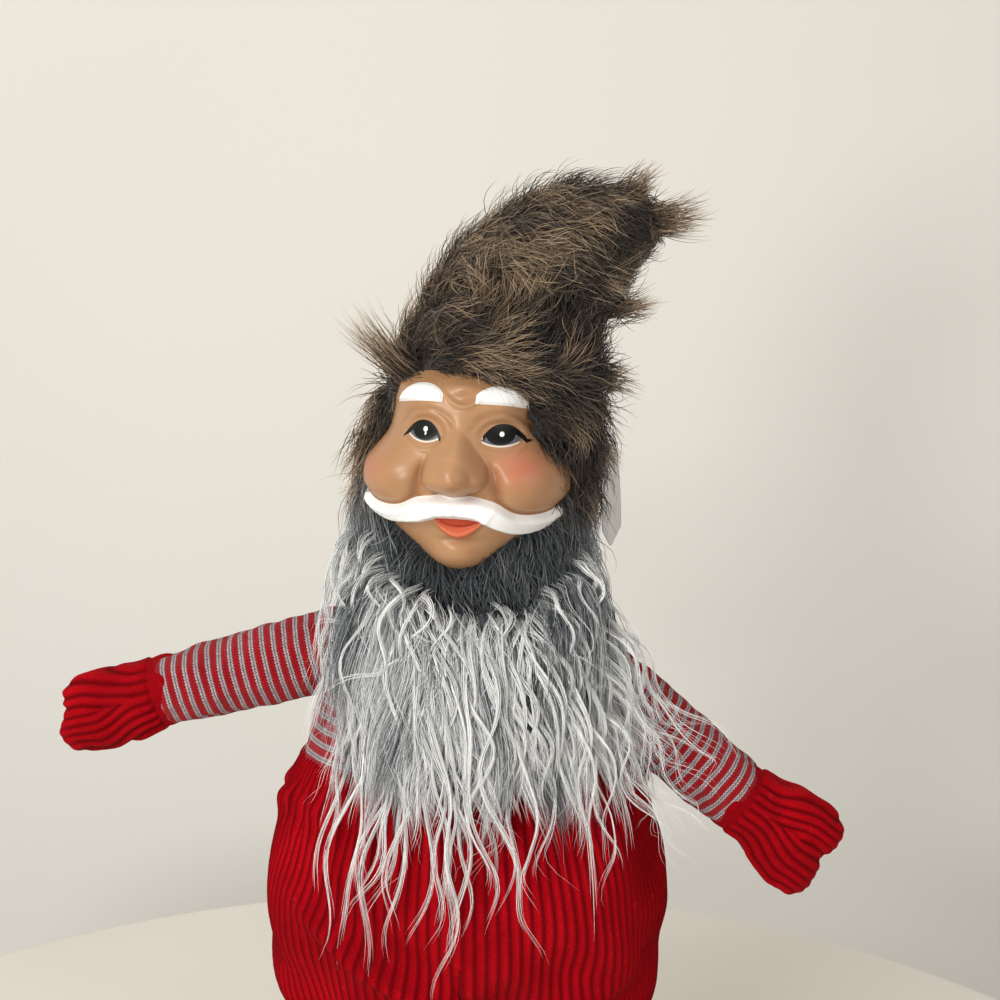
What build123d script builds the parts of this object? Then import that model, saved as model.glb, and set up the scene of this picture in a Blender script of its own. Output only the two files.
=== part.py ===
from build123d import *
from math import cos, radians, sin
import os

# A soft standing gnome doll, about 460 mm tall: a stuffed trunk in a striped shirt and baggy
# corduroy trousers, weighted legs in felt boots, wired arms with mittens, a moulded face in a
# pile hood, a long pile beard and a tall pile hat whose tip bends over.
# Millimetres, +Z up. The doll faces -Y and its left is +X. The origin is on the floor, under
# the middle of its outline.

# ---- driving dimensions ---------------------------------------------------------------
axis_x = 5.0  # the trunk's own axis, measured from the middle of the outline
axis_y = 4.0
neck_z = 283.0  # the neck seam, where the head turns on the trunk
turn_gap = 0.6  # between the trunk's neck and the head's underside
skin_gap = 0.3  # between a stuffing and the cloth around it, where the two are shaped apart

# Trunk: (height, half width, half depth) of the cloth's outer face
trousers_levels = [(110, 76, 56), (135, 82, 62), (163, 84.5, 65), (190, 80.5, 61), (216, 73.5, 54)]
corduroy_wall = 1.8
shirt_hem_z = 196.0
waist_z = 216.0
shirt_half_width = 70.0
shirt_half_depth = 50.5
# Above the waist: (height, half width, half depth, sideways shift, roll to the doll's left)
shirt_levels = [(236, 66.5, 49, 1, 3), (256, 58, 44, 2, 7), (271, 45, 37, 1, 4)]
neck_half_width = 33.0
neck_half_depth = 31.0
jersey_wall = 1.2
elastic_height = 8.0
elastic_thickness = 1.2

# Legs and boots: levels are (height, half width, half depth), and the boots' add a shift in Y
leg_x = 38.0
leg_top_z = 110.0
leg_levels = [(110, 37, 46), (85, 36, 43), (60, 29, 35), (44, 20.5, 26)]
ankle_z = 44.0
boot_levels = [(4, 22, 52, -18), (14, 23, 53, -18), (26, 21.5, 47, -14), (35, 19.5, 33, -4), (44, 19, 25, 0)]
felt_wall = 2.2
sole_thickness = 4.0
sole_half_width = 24.0
sole_half_length = 54.5
sole_shift_y = -18.0
ballast_radius = 19.0
ballast_height = 30.0
ballast_z = 72.0

# Arms: each shoulder's place and slope below the horizontal, seen from the front
shoulder_right = (axis_x - 57.5, 266.5)
shoulder_left = (axis_x + 61.5, 249.0)
arm_slope = {"right": 14.5, "left": 40.0}
hand_slope = {"right": 17.0, "left": 37.0}
arm_length = 73.0
arm_root_radius = 16.0
arm_wrist_radius = 15.5
arm_low = -50.0  # the arm's lowest and highest slopes from the horizontal
arm_high = 30.0
arm_clear = 0.6
wrist_radius = 14.4
wrist_gap = 0.4
cuff_set_back = 1.5  # from the wrist's centre to the sleeve's end
palm_levels = [(0, 9.5, 9.5), (14, 17, 13.8), (32, 19.5, 13.5)]  # (along, half height, half depth)
finger_radius = 13.0
thumb_radius = 10.5
mitten_wall = 1.8
wire_radius = 1.1

# Head: its axis stands a little to the doll's left, and the face looks a little to its right
head_x = axis_x + 4.0
face_yaw = 6.0
face_z = 345.0
face_half_width = 41.0
face_half_height = 39.5
mask_radius = 47.0
mask_forward = 10.0
mask_wall = 2.0
nose_radius = 11.0
nose_z = 340.0
face_back = 22.0  # the face opening starts this far in front of the head's axis
hood_top_z = 338.0
pile = 8.0  # backing and pile of the hat

# Hat: (height, shift to the doll's left, radius, lean) up to its rim, where the tip bends
hat_levels = [(338, 1, 56, 0), (362, 5, 54, 0), (385, 10, 51, 6), (402, 16, 43.5, 14), (418, 22, 38, 28)]
bend_x = head_x + 34.0
bend_z = 432.0
rim_lean = 48.0
rim_radius = 30.6
tip_lean = 71.0
tip_levels = [(0, 27.6), (20, 20.5), (37, 12.5)]  # (along the tip, radius)
tip_end_radius = 10.5
bend_ball_radius = 28.3
bend_gap = 0.5

# Beard: (height, half width, half depth) of its outer face and of its back, clear of the trunk
beard_levels = [(150, 34, 71), (165, 50, 73), (190, 62, 71.5), (216, 66, 68), (240, 66, 62), (282.5, 50, 51)]
beard_back_levels = [
    (150, 86, 66), (165, 87, 67), (190, 83, 64),
    (216, 76, 57), (240, 69, 52), (282.5, 42, 38),
]
beard_behind = 26.0  # it stays this far in front of the trunk's axis

label_length = 48.0
label_width = 16.0
label_thickness = 0.8


def level(z, x=axis_x, y=axis_y):
    return Plane(origin=(x, y, z))


def leaning(x, z, lean, y=axis_y):
    """A plane whose normal leans from vertical towards the doll's left."""
    return Plane(origin=(x, y, z), x_dir=(cos(radians(lean)), 0, -sin(radians(lean))),
                 z_dir=(sin(radians(lean)), 0, cos(radians(lean))))


def ellipse(plane, half_width, half_depth):
    with BuildSketch(plane) as section:
        Ellipse(half_width, half_depth)
    return section.sketch.face()


def disc(plane, radius):
    with BuildSketch(plane) as section:
        Circle(radius)
    return section.sketch.face()


def ellipse_stack(levels, inset=0.0, x=axis_x):
    """A loft through upright ellipses, each (height, half width, half depth, shift in Y)."""
    loft([
        ellipse(level(z, x, axis_y + sum(shift)), half_width - inset, half_depth - inset)
        for z, half_width, half_depth, *shift in levels
    ])


def shirt_form(inset=0.0, foot=shirt_hem_z):
    """The shirt's solid form: straight from its foot to the waist, then rolling with the shoulders."""
    hem = ellipse(level(foot), shirt_half_width - inset, shirt_half_depth - inset)
    extrude(hem, amount=waist_z - foot)
    waist = ellipse(level(waist_z), shirt_half_width - inset, shirt_half_depth - inset)
    rolled = [
        ellipse(leaning(axis_x + shift, z, roll), half_width - inset, half_depth - inset)
        for z, half_width, half_depth, shift, roll in shirt_levels
    ]
    neck = ellipse(level(neck_z - max(inset, 0)), neck_half_width - inset, neck_half_depth - inset)
    loft([waist, *rolled, neck])


def limb_plane(point, slope, side):
    """Along an arm or a hand from a joint: its normal points outwards and its X axis upwards."""
    out = 1 if side == "left" else -1
    return Plane(
        origin=(point[0], axis_y, point[1]),
        x_dir=(out * sin(radians(slope)), 0, cos(radians(slope))),
        z_dir=(out * cos(radians(slope)), 0, -sin(radians(slope))),
    )


def wrist_point(side):
    start = shoulder_left if side == "left" else shoulder_right
    out = 1 if side == "left" else -1
    slope = radians(arm_slope[side])
    return (start[0] + out * arm_length * cos(slope), start[1] - arm_length * sin(slope))


def arm_form(side, inset=0.0):
    """A sleeve turned about its own line: a ball end in the shoulder, a hollow end for the hand's ball."""
    start = shoulder_left if side == "left" else shoulder_right
    arm = limb_plane(start, arm_slope[side], side)
    root = arm_root_radius - inset
    wrist = arm_wrist_radius - inset
    socket = wrist_radius + wrist_gap
    end = arm_length - cuff_set_back
    halfway = sin(radians(45))
    with BuildSketch(Plane(origin=arm.origin, x_dir=arm.x_dir, z_dir=-arm.y_dir)) as half:
        with BuildLine():
            ThreePointArc((0, -root), (root * halfway, -root * halfway), (root, 0))
            if inset:
                lip = (wrist, arm_length - (socket**2 - wrist**2) ** 0.5)
                Line((root, 0), lip)
            else:
                lip = ((socket**2 - cuff_set_back**2) ** 0.5, end)
                Polyline((root, 0), (wrist, end), lip)
            ThreePointArc(lip, (socket * halfway, arm_length - socket * halfway), (0, arm_length - socket))
            Line((0, arm_length - socket), (0, -root))
        make_face()
    revolve(half.sketch, axis=Axis(arm.origin, arm.z_dir))


def hand_form(side, inset=0.0):
    """A mitten: a ball in the sleeve's end, a flattened palm, a finger lobe and a thumb lobe."""
    hand = limb_plane(wrist_point(side), hand_slope[side], side)
    with Locations(hand.location):
        Sphere(wrist_radius - inset)
    loft([
        ellipse(hand.offset(along), half_height - inset, half_depth - inset)
        for along, half_height, half_depth in palm_levels
    ])
    lobes = [(-6.5, finger_radius, 39, 12), (9, thumb_radius, 33, -14)]
    for up, radius, reach, tilt in lobes:
        lobe = hand.location * Location((up, 0, 18), (0, -tilt, 0))
        with Locations(lobe):
            Cylinder(radius - inset, reach - 18, align=(Align.CENTER, Align.CENTER, Align.MIN))
        with Locations(lobe * Location((0, 0, reach - 18))):
            Sphere(radius - inset)


def arm_hollow(side):
    """Everything the sleeve passes through as the shoulder moves, taken out of the trunk."""
    start = shoulder_left if side == "left" else shoulder_right
    radius = arm_root_radius + arm_clear
    with BuildPart(mode=Mode.PRIVATE) as hollow:
        with Locations((start[0], axis_y, start[1])):
            Sphere(radius)
        steps = 9
        for step in range(steps):
            slope = -arm_high + (arm_high - arm_low) * step / (steps - 1)
            with Locations(limb_plane(start, slope, side).location):
                Cylinder(radius, 60, align=(Align.CENTER, Align.CENTER, Align.MIN))
    return hollow.part


def finish(made, name):
    made.part.label = name
    export_step(made.part, f"parts/{name}.step")


os.makedirs("parts", exist_ok=True)
hollows = [arm_hollow(side) for side in ("left", "right")]

# ---- trunk ------------------------------------------------------------------------------
# One wire runs through both shoulders; it is in three lengths because it bends at the joints.
with BuildPart() as shoulder_wire:
    wire_reach = 18.5
    with BuildLine() as run:
        Line((shoulder_right[0] + wire_reach, axis_y, shoulder_right[1] - 4),
             (shoulder_left[0] - wire_reach, axis_y, shoulder_left[1] + 4))
    with BuildSketch(Plane(origin=run.line @ 0, z_dir=run.line % 0)):
        Circle(wire_radius)
    sweep(path=run.line)
finish(shoulder_wire, "shoulder_wire")

with BuildPart() as trouser_core:
    ellipse_stack(trousers_levels, corduroy_wall)
    split(bisect_by=Plane.XY.offset(leg_top_z + corduroy_wall), keep=Keep.TOP)
with BuildPart() as trousers:
    ellipse_stack(trousers_levels)
    add(trouser_core.part, mode=Mode.SUBTRACT)
    add(hollows, mode=Mode.SUBTRACT)
finish(trousers, "trousers")

with BuildPart() as shirt_core:
    shirt_form(jersey_wall)
with BuildPart() as shirt_torso:
    shirt_form()
    add(shirt_core.part, mode=Mode.SUBTRACT)
    add(hollows, mode=Mode.SUBTRACT)
finish(shirt_torso, "shirt_torso")

with BuildPart() as waist_elastic:
    with BuildSketch(level(waist_z - elastic_height)):
        Ellipse(shirt_half_width + elastic_thickness, shirt_half_depth + elastic_thickness)
        Ellipse(shirt_half_width + 0.05, shirt_half_depth + 0.05, mode=Mode.SUBTRACT)
    extrude(amount=elastic_height - 0.5)
    add(hollows, mode=Mode.SUBTRACT)
finish(waist_elastic, "waist_elastic")

with BuildPart() as torso_stuffing:
    ellipse_stack(trousers_levels, corduroy_wall + skin_gap)
    split(bisect_by=Plane.XY.offset(leg_top_z + corduroy_wall + skin_gap), keep=Keep.TOP)
    split(bisect_by=Plane.XY.offset(shirt_hem_z - skin_gap), keep=Keep.BOTTOM)
    shirt_form(jersey_wall + skin_gap, foot=shirt_hem_z - 2)
    add(shoulder_wire.part, mode=Mode.SUBTRACT)
    add(hollows, mode=Mode.SUBTRACT)
finish(torso_stuffing, "torso_stuffing")

with BuildPart() as beard_back:
    ellipse_stack(beard_back_levels)
with BuildPart() as beard_panel:
    ellipse_stack(beard_levels, x=axis_x + 3)
    split(bisect_by=Plane.XZ.offset(beard_behind - axis_y), keep=Keep.TOP)
    add(beard_back.part, mode=Mode.SUBTRACT)
finish(beard_panel, "beard_panel")

# ---- legs and boots -----------------------------------------------------------------------
for side, across in (("left", leg_x), ("right", -leg_x)):
    x = axis_x + across

    with BuildPart() as ballast_bag:
        with Locations((x, axis_y, ballast_z)):
            Cylinder(ballast_radius, ballast_height)
        fillet(ballast_bag.edges(), 8)
    finish(ballast_bag, f"ballast_bag_{side}")

    with BuildPart() as ankle_elastic:
        with BuildSketch(level(ankle_z + 2, x)):
            Ellipse(leg_levels[-1][1] - corduroy_wall - 0.6, leg_levels[-1][2] - corduroy_wall - 0.6)
            Ellipse(leg_levels[-1][1] - corduroy_wall - 1.8, leg_levels[-1][2] - corduroy_wall - 1.8,
                    mode=Mode.SUBTRACT)
        extrude(amount=6)
    finish(ankle_elastic, f"ankle_elastic_{side}")

    with BuildPart() as leg_core:
        ellipse_stack(leg_levels, corduroy_wall, x)
    with BuildPart() as trouser_leg:
        ellipse_stack(leg_levels, x=x)
        add(leg_core.part, mode=Mode.SUBTRACT)
    finish(trouser_leg, f"trouser_leg_{side}")

    with BuildPart() as boot_core:
        ellipse_stack(boot_levels, felt_wall, x)
        split(bisect_by=Plane.XY.offset(sole_thickness + felt_wall), keep=Keep.TOP)
    with BuildPart() as boot:
        ellipse_stack(boot_levels, x=x)
        add(boot_core.part, mode=Mode.SUBTRACT)
    finish(boot, f"boot_{side}")

    with BuildPart() as leg_stuffing:
        ellipse_stack(leg_levels, corduroy_wall + skin_gap, x)
        split(bisect_by=Plane.XY.offset(leg_top_z - skin_gap), keep=Keep.BOTTOM)
        add(ballast_bag.part, mode=Mode.SUBTRACT)
        add(ankle_elastic.part, mode=Mode.SUBTRACT)
        ellipse_stack(boot_levels, felt_wall + skin_gap, x)
        split(bisect_by=Plane.XY.offset(sole_thickness + felt_wall + skin_gap), keep=Keep.TOP)
    finish(leg_stuffing, f"leg_stuffing_{side}")

    with BuildPart() as boot_sole:
        with BuildSketch(level(0, x, axis_y + sole_shift_y)):
            Ellipse(sole_half_width, sole_half_length)
        extrude(amount=sole_thickness)
        fillet(boot_sole.edges().group_by(Axis.Z)[0], 1)
    finish(boot_sole, f"boot_sole_{side}")

# ---- arms and hands -------------------------------------------------------------------------
for side in ("left", "right"):
    start = shoulder_left if side == "left" else shoulder_right
    arm = limb_plane(start, arm_slope[side], side)
    hand = limb_plane(wrist_point(side), hand_slope[side], side)
    along = (Align.CENTER, Align.CENTER, Align.MIN)

    with BuildPart() as arm_wire:
        with Locations(arm.offset(-9).location):
            Cylinder(wire_radius, arm_length - wrist_radius + 4, align=along)
    finish(arm_wire, f"arm_wire_{side}")

    with BuildPart() as arm_core:
        arm_form(side, jersey_wall)
    with BuildPart() as sleeve:
        arm_form(side)
        add(arm_core.part, mode=Mode.SUBTRACT)
    finish(sleeve, f"sleeve_{side}")
    with BuildPart() as arm_stuffing:
        add(arm_core.part)
        add(arm_wire.part, mode=Mode.SUBTRACT)
    finish(arm_stuffing, f"arm_stuffing_{side}")

    # The wire's end is bent into a flat loop, so that it can't prick through the mitten.
    with BuildPart() as hand_wire:
        with BuildLine(Plane(origin=hand.origin, x_dir=hand.z_dir, z_dir=(0, -1, 0))) as hook:
            straight = Line((-9, 0), (20, 0))
            bend = ThreePointArc(straight @ 1, (25, 5), (20, 10))
            Line(bend @ 1, (12, 10))
        with BuildSketch(Plane(origin=hook.line @ 0, z_dir=hand.z_dir)):
            Circle(wire_radius)
        sweep(path=hook.line)
    finish(hand_wire, f"hand_wire_{side}")

    with BuildPart() as hand_core:
        hand_form(side, mitten_wall)
    with BuildPart() as mitten:
        hand_form(side)
        add(hand_core.part, mode=Mode.SUBTRACT)
    finish(mitten, f"mitten_{side}")
    with BuildPart() as mitten_stuffing:
        add(hand_core.part)
        add(hand_wire.part, mode=Mode.SUBTRACT)
    finish(mitten_stuffing, f"mitten_stuffing_{side}")

# ---- head -------------------------------------------------------------------------------------
head_axis = Axis((head_x, axis_y, 0), (0, 0, 1))
head_plane = Plane(origin=(head_x, axis_y, 0), x_dir=(1, 0, 0), z_dir=(0, -1, 0))
face_plane = Plane(
    origin=(head_x, axis_y, face_z),
    x_dir=(cos(radians(face_yaw)), -sin(radians(face_yaw)), 0),
    z_dir=(-sin(radians(face_yaw)), -cos(radians(face_yaw)), 0),
)
head_low = neck_z + turn_gap


def head_turned(outline):
    """Revolves an outline of (radius, height) points, from the lowest up, about the head's axis."""
    foot = outline[0][1]
    top = outline[-1][1]
    with BuildSketch(head_plane) as half:
        with BuildLine():
            Spline(*outline)
            if outline[-1][0] > 0:
                Line(outline[-1], (0, top))
            Polyline((0, top), (0, foot), outline[0])
        make_face()
    revolve(half.sketch, axis=head_axis)


with BuildPart() as face_opening:
    with BuildSketch(face_plane.offset(face_back)):
        Ellipse(face_half_width + 0.4, face_half_height + 0.4)
    extrude(amount=60)

with BuildPart() as mask_room:
    add(face_opening.part)
    with Locations(face_plane.offset(mask_forward).location):
        Sphere(mask_radius - mask_wall - skin_gap, mode=Mode.SUBTRACT)

with BuildPart() as head_stuffing:
    head_turned([(27, head_low), (41, 302), (45.5, 325), (46, 350), (41, 375), (26, 393), (0, 398)])
    add(mask_room.part, mode=Mode.SUBTRACT)
finish(head_stuffing, "head_stuffing")

with BuildPart() as face_mask:
    with Locations(face_plane.offset(mask_forward).location):
        Sphere(mask_radius)
    with Locations(face_plane.location * Location((0, nose_z - face_z, mask_radius + mask_forward))):
        Sphere(nose_radius)
    with Locations(face_plane.offset(mask_forward).location):
        Sphere(mask_radius - mask_wall, mode=Mode.SUBTRACT)
    with BuildSketch(face_plane.offset(face_back)):
        Ellipse(face_half_width, face_half_height)
    extrude(amount=60, mode=Mode.INTERSECT)
finish(face_mask, "face_mask")

with BuildPart() as fur_hood:
    head_turned([(35, head_low), (50, 298), (55.5, 318), (56, hood_top_z)])
    add(head_stuffing.part, mode=Mode.SUBTRACT)
    add(face_opening.part, mode=Mode.SUBTRACT)
finish(fur_hood, "fur_hood")


def hat_form(inset=0.0):
    """The hat from its brim to the rim where the tip starts."""
    rings = [
        disc(leaning(head_x + shift, z, lean), radius - inset)
        for z, shift, radius, lean in hat_levels
    ]
    rim = disc(leaning(bend_x, bend_z, rim_lean), rim_radius - inset / 4)
    loft([*rings, rim])


def tip_form(inset=0.0):
    """The hat's tip: a ball that sits in the rim and a blunt cone that hangs over."""
    tip = leaning(bend_x, bend_z, tip_lean)
    with Locations(tip.location):
        Sphere(bend_ball_radius - inset)
    loft([disc(tip.offset(reach), radius - inset) for reach, radius in tip_levels])
    with Locations(tip.offset(tip_levels[-1][0]).location):
        Sphere(tip_end_radius + 1.5 - inset)


with BuildPart() as bend_socket:
    with Locations((bend_x, axis_y, bend_z)):
        Sphere(bend_ball_radius + bend_gap)

with BuildPart() as hat_stuffing:
    hat_form(pile)
    split(bisect_by=Plane.XY.offset(368), keep=Keep.TOP)
    add(head_stuffing.part, mode=Mode.SUBTRACT)
    add(bend_socket.part, mode=Mode.SUBTRACT)
    add(face_opening.part, mode=Mode.SUBTRACT)
finish(hat_stuffing, "hat_stuffing")

with BuildPart() as hat_lower:
    hat_form()
    add(head_stuffing.part, mode=Mode.SUBTRACT)
    add(hat_stuffing.part, mode=Mode.SUBTRACT)
    add(bend_socket.part, mode=Mode.SUBTRACT)
    add(face_opening.part, mode=Mode.SUBTRACT)
finish(hat_lower, "hat_lower")

with BuildPart() as hat_tip_stuffing:
    tip_form(pile * 0.7)
finish(hat_tip_stuffing, "hat_tip_stuffing")
with BuildPart() as hat_upper:
    tip_form()
    add(hat_tip_stuffing.part, mode=Mode.SUBTRACT)
finish(hat_upper, "hat_upper")

# A satin care label, sewn into the hood's side seam, hangs outside the pile.
with BuildPart() as care_label:
    with BuildSketch(Plane(origin=(head_x + 58.2, axis_y + 6, 336), x_dir=(0.55, 0.835, 0),
                           z_dir=(0.835, -0.55, 0))):
        with BuildLine():
            Polyline((0, label_length / 2), (label_width, label_length / 2),
                     (label_width, -label_length / 2 + 8), (label_width / 2, -label_length / 2),
                     (0, -label_length / 2 + 8), close=True)
        make_face()
    extrude(amount=label_thickness)
finish(care_label, "care_label")
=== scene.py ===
import math

import bpy
import numpy as np
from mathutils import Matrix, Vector
from mathutils.kdtree import KDTree


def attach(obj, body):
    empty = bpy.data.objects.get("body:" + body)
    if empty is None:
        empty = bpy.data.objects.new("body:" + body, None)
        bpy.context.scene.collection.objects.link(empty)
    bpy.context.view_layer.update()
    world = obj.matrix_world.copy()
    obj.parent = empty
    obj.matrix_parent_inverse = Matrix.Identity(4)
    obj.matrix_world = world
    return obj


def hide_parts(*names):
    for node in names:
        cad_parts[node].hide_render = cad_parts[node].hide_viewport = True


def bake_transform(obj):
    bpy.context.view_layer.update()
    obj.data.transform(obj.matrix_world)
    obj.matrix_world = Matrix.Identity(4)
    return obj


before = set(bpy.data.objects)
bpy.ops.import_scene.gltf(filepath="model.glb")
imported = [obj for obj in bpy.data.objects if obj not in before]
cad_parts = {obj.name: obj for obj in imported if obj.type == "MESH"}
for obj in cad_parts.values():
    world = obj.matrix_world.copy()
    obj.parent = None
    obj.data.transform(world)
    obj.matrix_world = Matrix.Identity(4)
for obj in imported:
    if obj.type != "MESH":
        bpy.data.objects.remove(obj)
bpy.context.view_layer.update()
scene = bpy.context.scene
MM = 0.001

# ---- the doll's own sizes, in millimetres, as the CAD model has them ----------------------
WAY = {"left": 1, "right": -1}  # the sign of x on each side
AXIS_X, AXIS_Y = 5.0, 4.0  # the doll's upright axis
HEAD_X = AXIS_X + 4
TRUNK_X = AXIS_X + 2
LEG_X = 38.0  # a leg's axis, from the doll's
LEG_TOP, LEG_HEM = 223, 42
FOOT_Y = -18  # the middle of a boot's length, from the doll's axis
BOOT_TOP, SOLE_TOP = 50, 3.4
SLEEVE_RADIUS = 15.4
FACE_YAW = math.radians(6)
ARM_LENGTH = 73.0
SHOULDER = {"right": (AXIS_X - 57.5, 266.5), "left": (AXIS_X + 61.5, 249.0)}
ARM_SLOPE = {"right": math.radians(14.5), "left": math.radians(40)}
HAND_SLOPE = {"right": math.radians(17), "left": math.radians(37)}
# the trunk under the beard: (height, half width, half depth)
TRUNK = [(44, 84, 62), (110, 78, 58), (135, 82, 62), (163, 84.5, 65), (190, 80.5, 61), (216, 73.5, 54),
         (236, 66.5, 49), (256, 58, 44), (271, 45, 38), (283, 36, 34), (298, 42, 43), (318, 45, 45),
         (345, 45, 46)]


# ---- small numeric helpers ----------------------------------------------------------------
def unit(v):
    return v / np.maximum(np.linalg.norm(v, axis=-1, keepdims=True), 1e-9)


def smooth(x, low, high):
    t = np.clip((x - low) / (high - low), 0, 1)
    return t * t * (3 - 2 * t)


def bell(x, centre, width):
    return np.exp(-(((x - centre) / width) ** 2))


def circle(columns):
    """The angles of a ring's points: 0 is the doll's left, then come its back, right and front."""
    return np.linspace(0, 2 * math.pi, columns, endpoint=False)


def stacked(*parts):
    """Coordinates given one by one, stretched to one shape and joined in a last axis."""
    return np.stack(np.broadcast_arrays(*parts), -1)


def table(rows, at):
    """Smooth interpolation (Catmull-Rom) of a table's rows, where its first column is `at`."""
    rows = np.asarray(rows, float)
    key = rows[:, 0]
    slope = np.gradient(rows, key, axis=0)
    at = np.clip(at, key[0], key[-1])
    i = np.clip(np.searchsorted(key, at, side="right") - 1, 0, len(key) - 2)
    h = (key[i + 1] - key[i])[..., None]
    t = (at - key[i])[..., None] / h
    a, b, m, n = rows[i], rows[i + 1], slope[i] * h, slope[i + 1] * h
    return ((2 * t**3 - 3 * t**2 + 1) * a + (t**3 - 2 * t**2 + t) * m
            + (-2 * t**3 + 3 * t**2) * b + (t**3 - t**2) * n)


def ripple(points, size, seed, waves=9):
    """Smooth noise between about -1 and 1, with lumps about `size` mm across."""
    rng = np.random.default_rng(seed)
    out = np.zeros(points.shape[:-1])
    for _ in range(waves):
        way = unit(rng.normal(size=points.shape[-1])) * (2 * math.pi / size) * rng.uniform(0.6, 1.5)
        out += np.cos(points @ way + rng.uniform(0, 6.3))
    return out / math.sqrt(waves / 2) / 1.6


def grid_faces(rows, columns, closed):
    """Quads of a grid whose vertices run row by row; closed joins each row's ends."""
    r, c = np.meshgrid(np.arange(rows - 1), np.arange(columns if closed else columns - 1), indexing="ij")
    nxt = (c + 1) % columns
    return np.stack([r * columns + c, r * columns + nxt, (r + 1) * columns + nxt, (r + 1) * columns + c],
                    -1).reshape(-1, 4)


def border(rows, columns):
    """The outer points of an open grid, in their order round it."""
    return np.concatenate([np.arange(columns), np.arange(1, rows) * columns + columns - 1,
                           (rows - 1) * columns + np.arange(columns - 2, -1, -1),
                           np.arange(rows - 2, 0, -1) * columns])


def make_mesh(name, points, faces, material, uv=None, values=None):
    """A mesh object from points in mm and arrays of quads and triangles; uv is given per point."""
    mesh = bpy.data.meshes.new(name)
    loops = np.concatenate([f.ravel() for f in faces]).astype(np.int32)
    sizes = np.concatenate([np.full(len(f), f.shape[1]) for f in faces])
    starts = np.concatenate([[0], np.cumsum(sizes)[:-1]]).astype(np.int32)
    mesh.vertices.add(len(points))
    mesh.vertices.foreach_set("co", (np.asarray(points) * MM).astype(np.float32).ravel())
    mesh.loops.add(len(loops))
    mesh.loops.foreach_set("vertex_index", loops)
    mesh.polygons.add(len(sizes))
    mesh.polygons.foreach_set("loop_start", starts)
    mesh.polygons.foreach_set("use_smooth", np.ones(len(sizes), bool))
    mesh.update(calc_edges=True)
    if uv is not None:
        layer = mesh.uv_layers.new(name="OFBake")
        layer.data.foreach_set("uv", np.asarray(uv, np.float32)[loops].ravel())
    for key, value in (values or {}).items():
        layer = mesh.attributes.new(key, "FLOAT", "POINT")
        layer.data.foreach_set("value", value.astype(np.float32).ravel())
    mesh.materials.append(material)
    obj = bpy.data.objects.new(name, mesh)
    scene.collection.objects.link(obj)
    return obj


def grid_normals(grid, closed):
    """Unit normals of a (rows, columns, 3) grid, pointing away from its inside."""
    if closed:
        across = np.roll(grid, -1, 1) - np.roll(grid, 1, 1)
    else:
        across = np.gradient(grid, axis=1)
    along = np.gradient(grid, axis=0)
    return unit(np.cross(across, along))


def scatter(grid, normals, closed, count, rng, weight=None):
    """Random places on a grid and the normals there, denser where the weight is larger."""
    rows, columns = grid.shape[:2]
    faces = grid_faces(rows, columns, closed)
    flat, flat_normal = grid.reshape(-1, 3), normals.reshape(-1, 3)
    a, b, c, d = (flat[faces[:, k]] for k in range(4))
    area = np.linalg.norm(np.cross(c - a, d - b), axis=1)
    if weight is not None:
        area = area * weight.reshape(-1)[faces].mean(1)
    pick = rng.choice(len(faces), count, p=area / area.sum())
    s, t = rng.random((count, 1)), rng.random((count, 1))
    four = [(1 - s) * (1 - t), s * (1 - t), s * t, (1 - s) * t]
    place = sum(w * flat[faces[pick, k]] for k, w in enumerate(four))
    normal = unit(sum(w * flat_normal[faces[pick, k]] for k, w in enumerate(four)))
    return place, normal


# ---- materials ------------------------------------------------------------------------------
def rgb(r, g, b):
    """A linear colour from the 0-255 numbers a paint chart gives."""
    linear = [((c / 255 + 0.055) / 1.055) ** 2.4 if c > 10 else c / 255 / 12.92 for c in (r, g, b)]
    return (*linear, 1.0)


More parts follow.
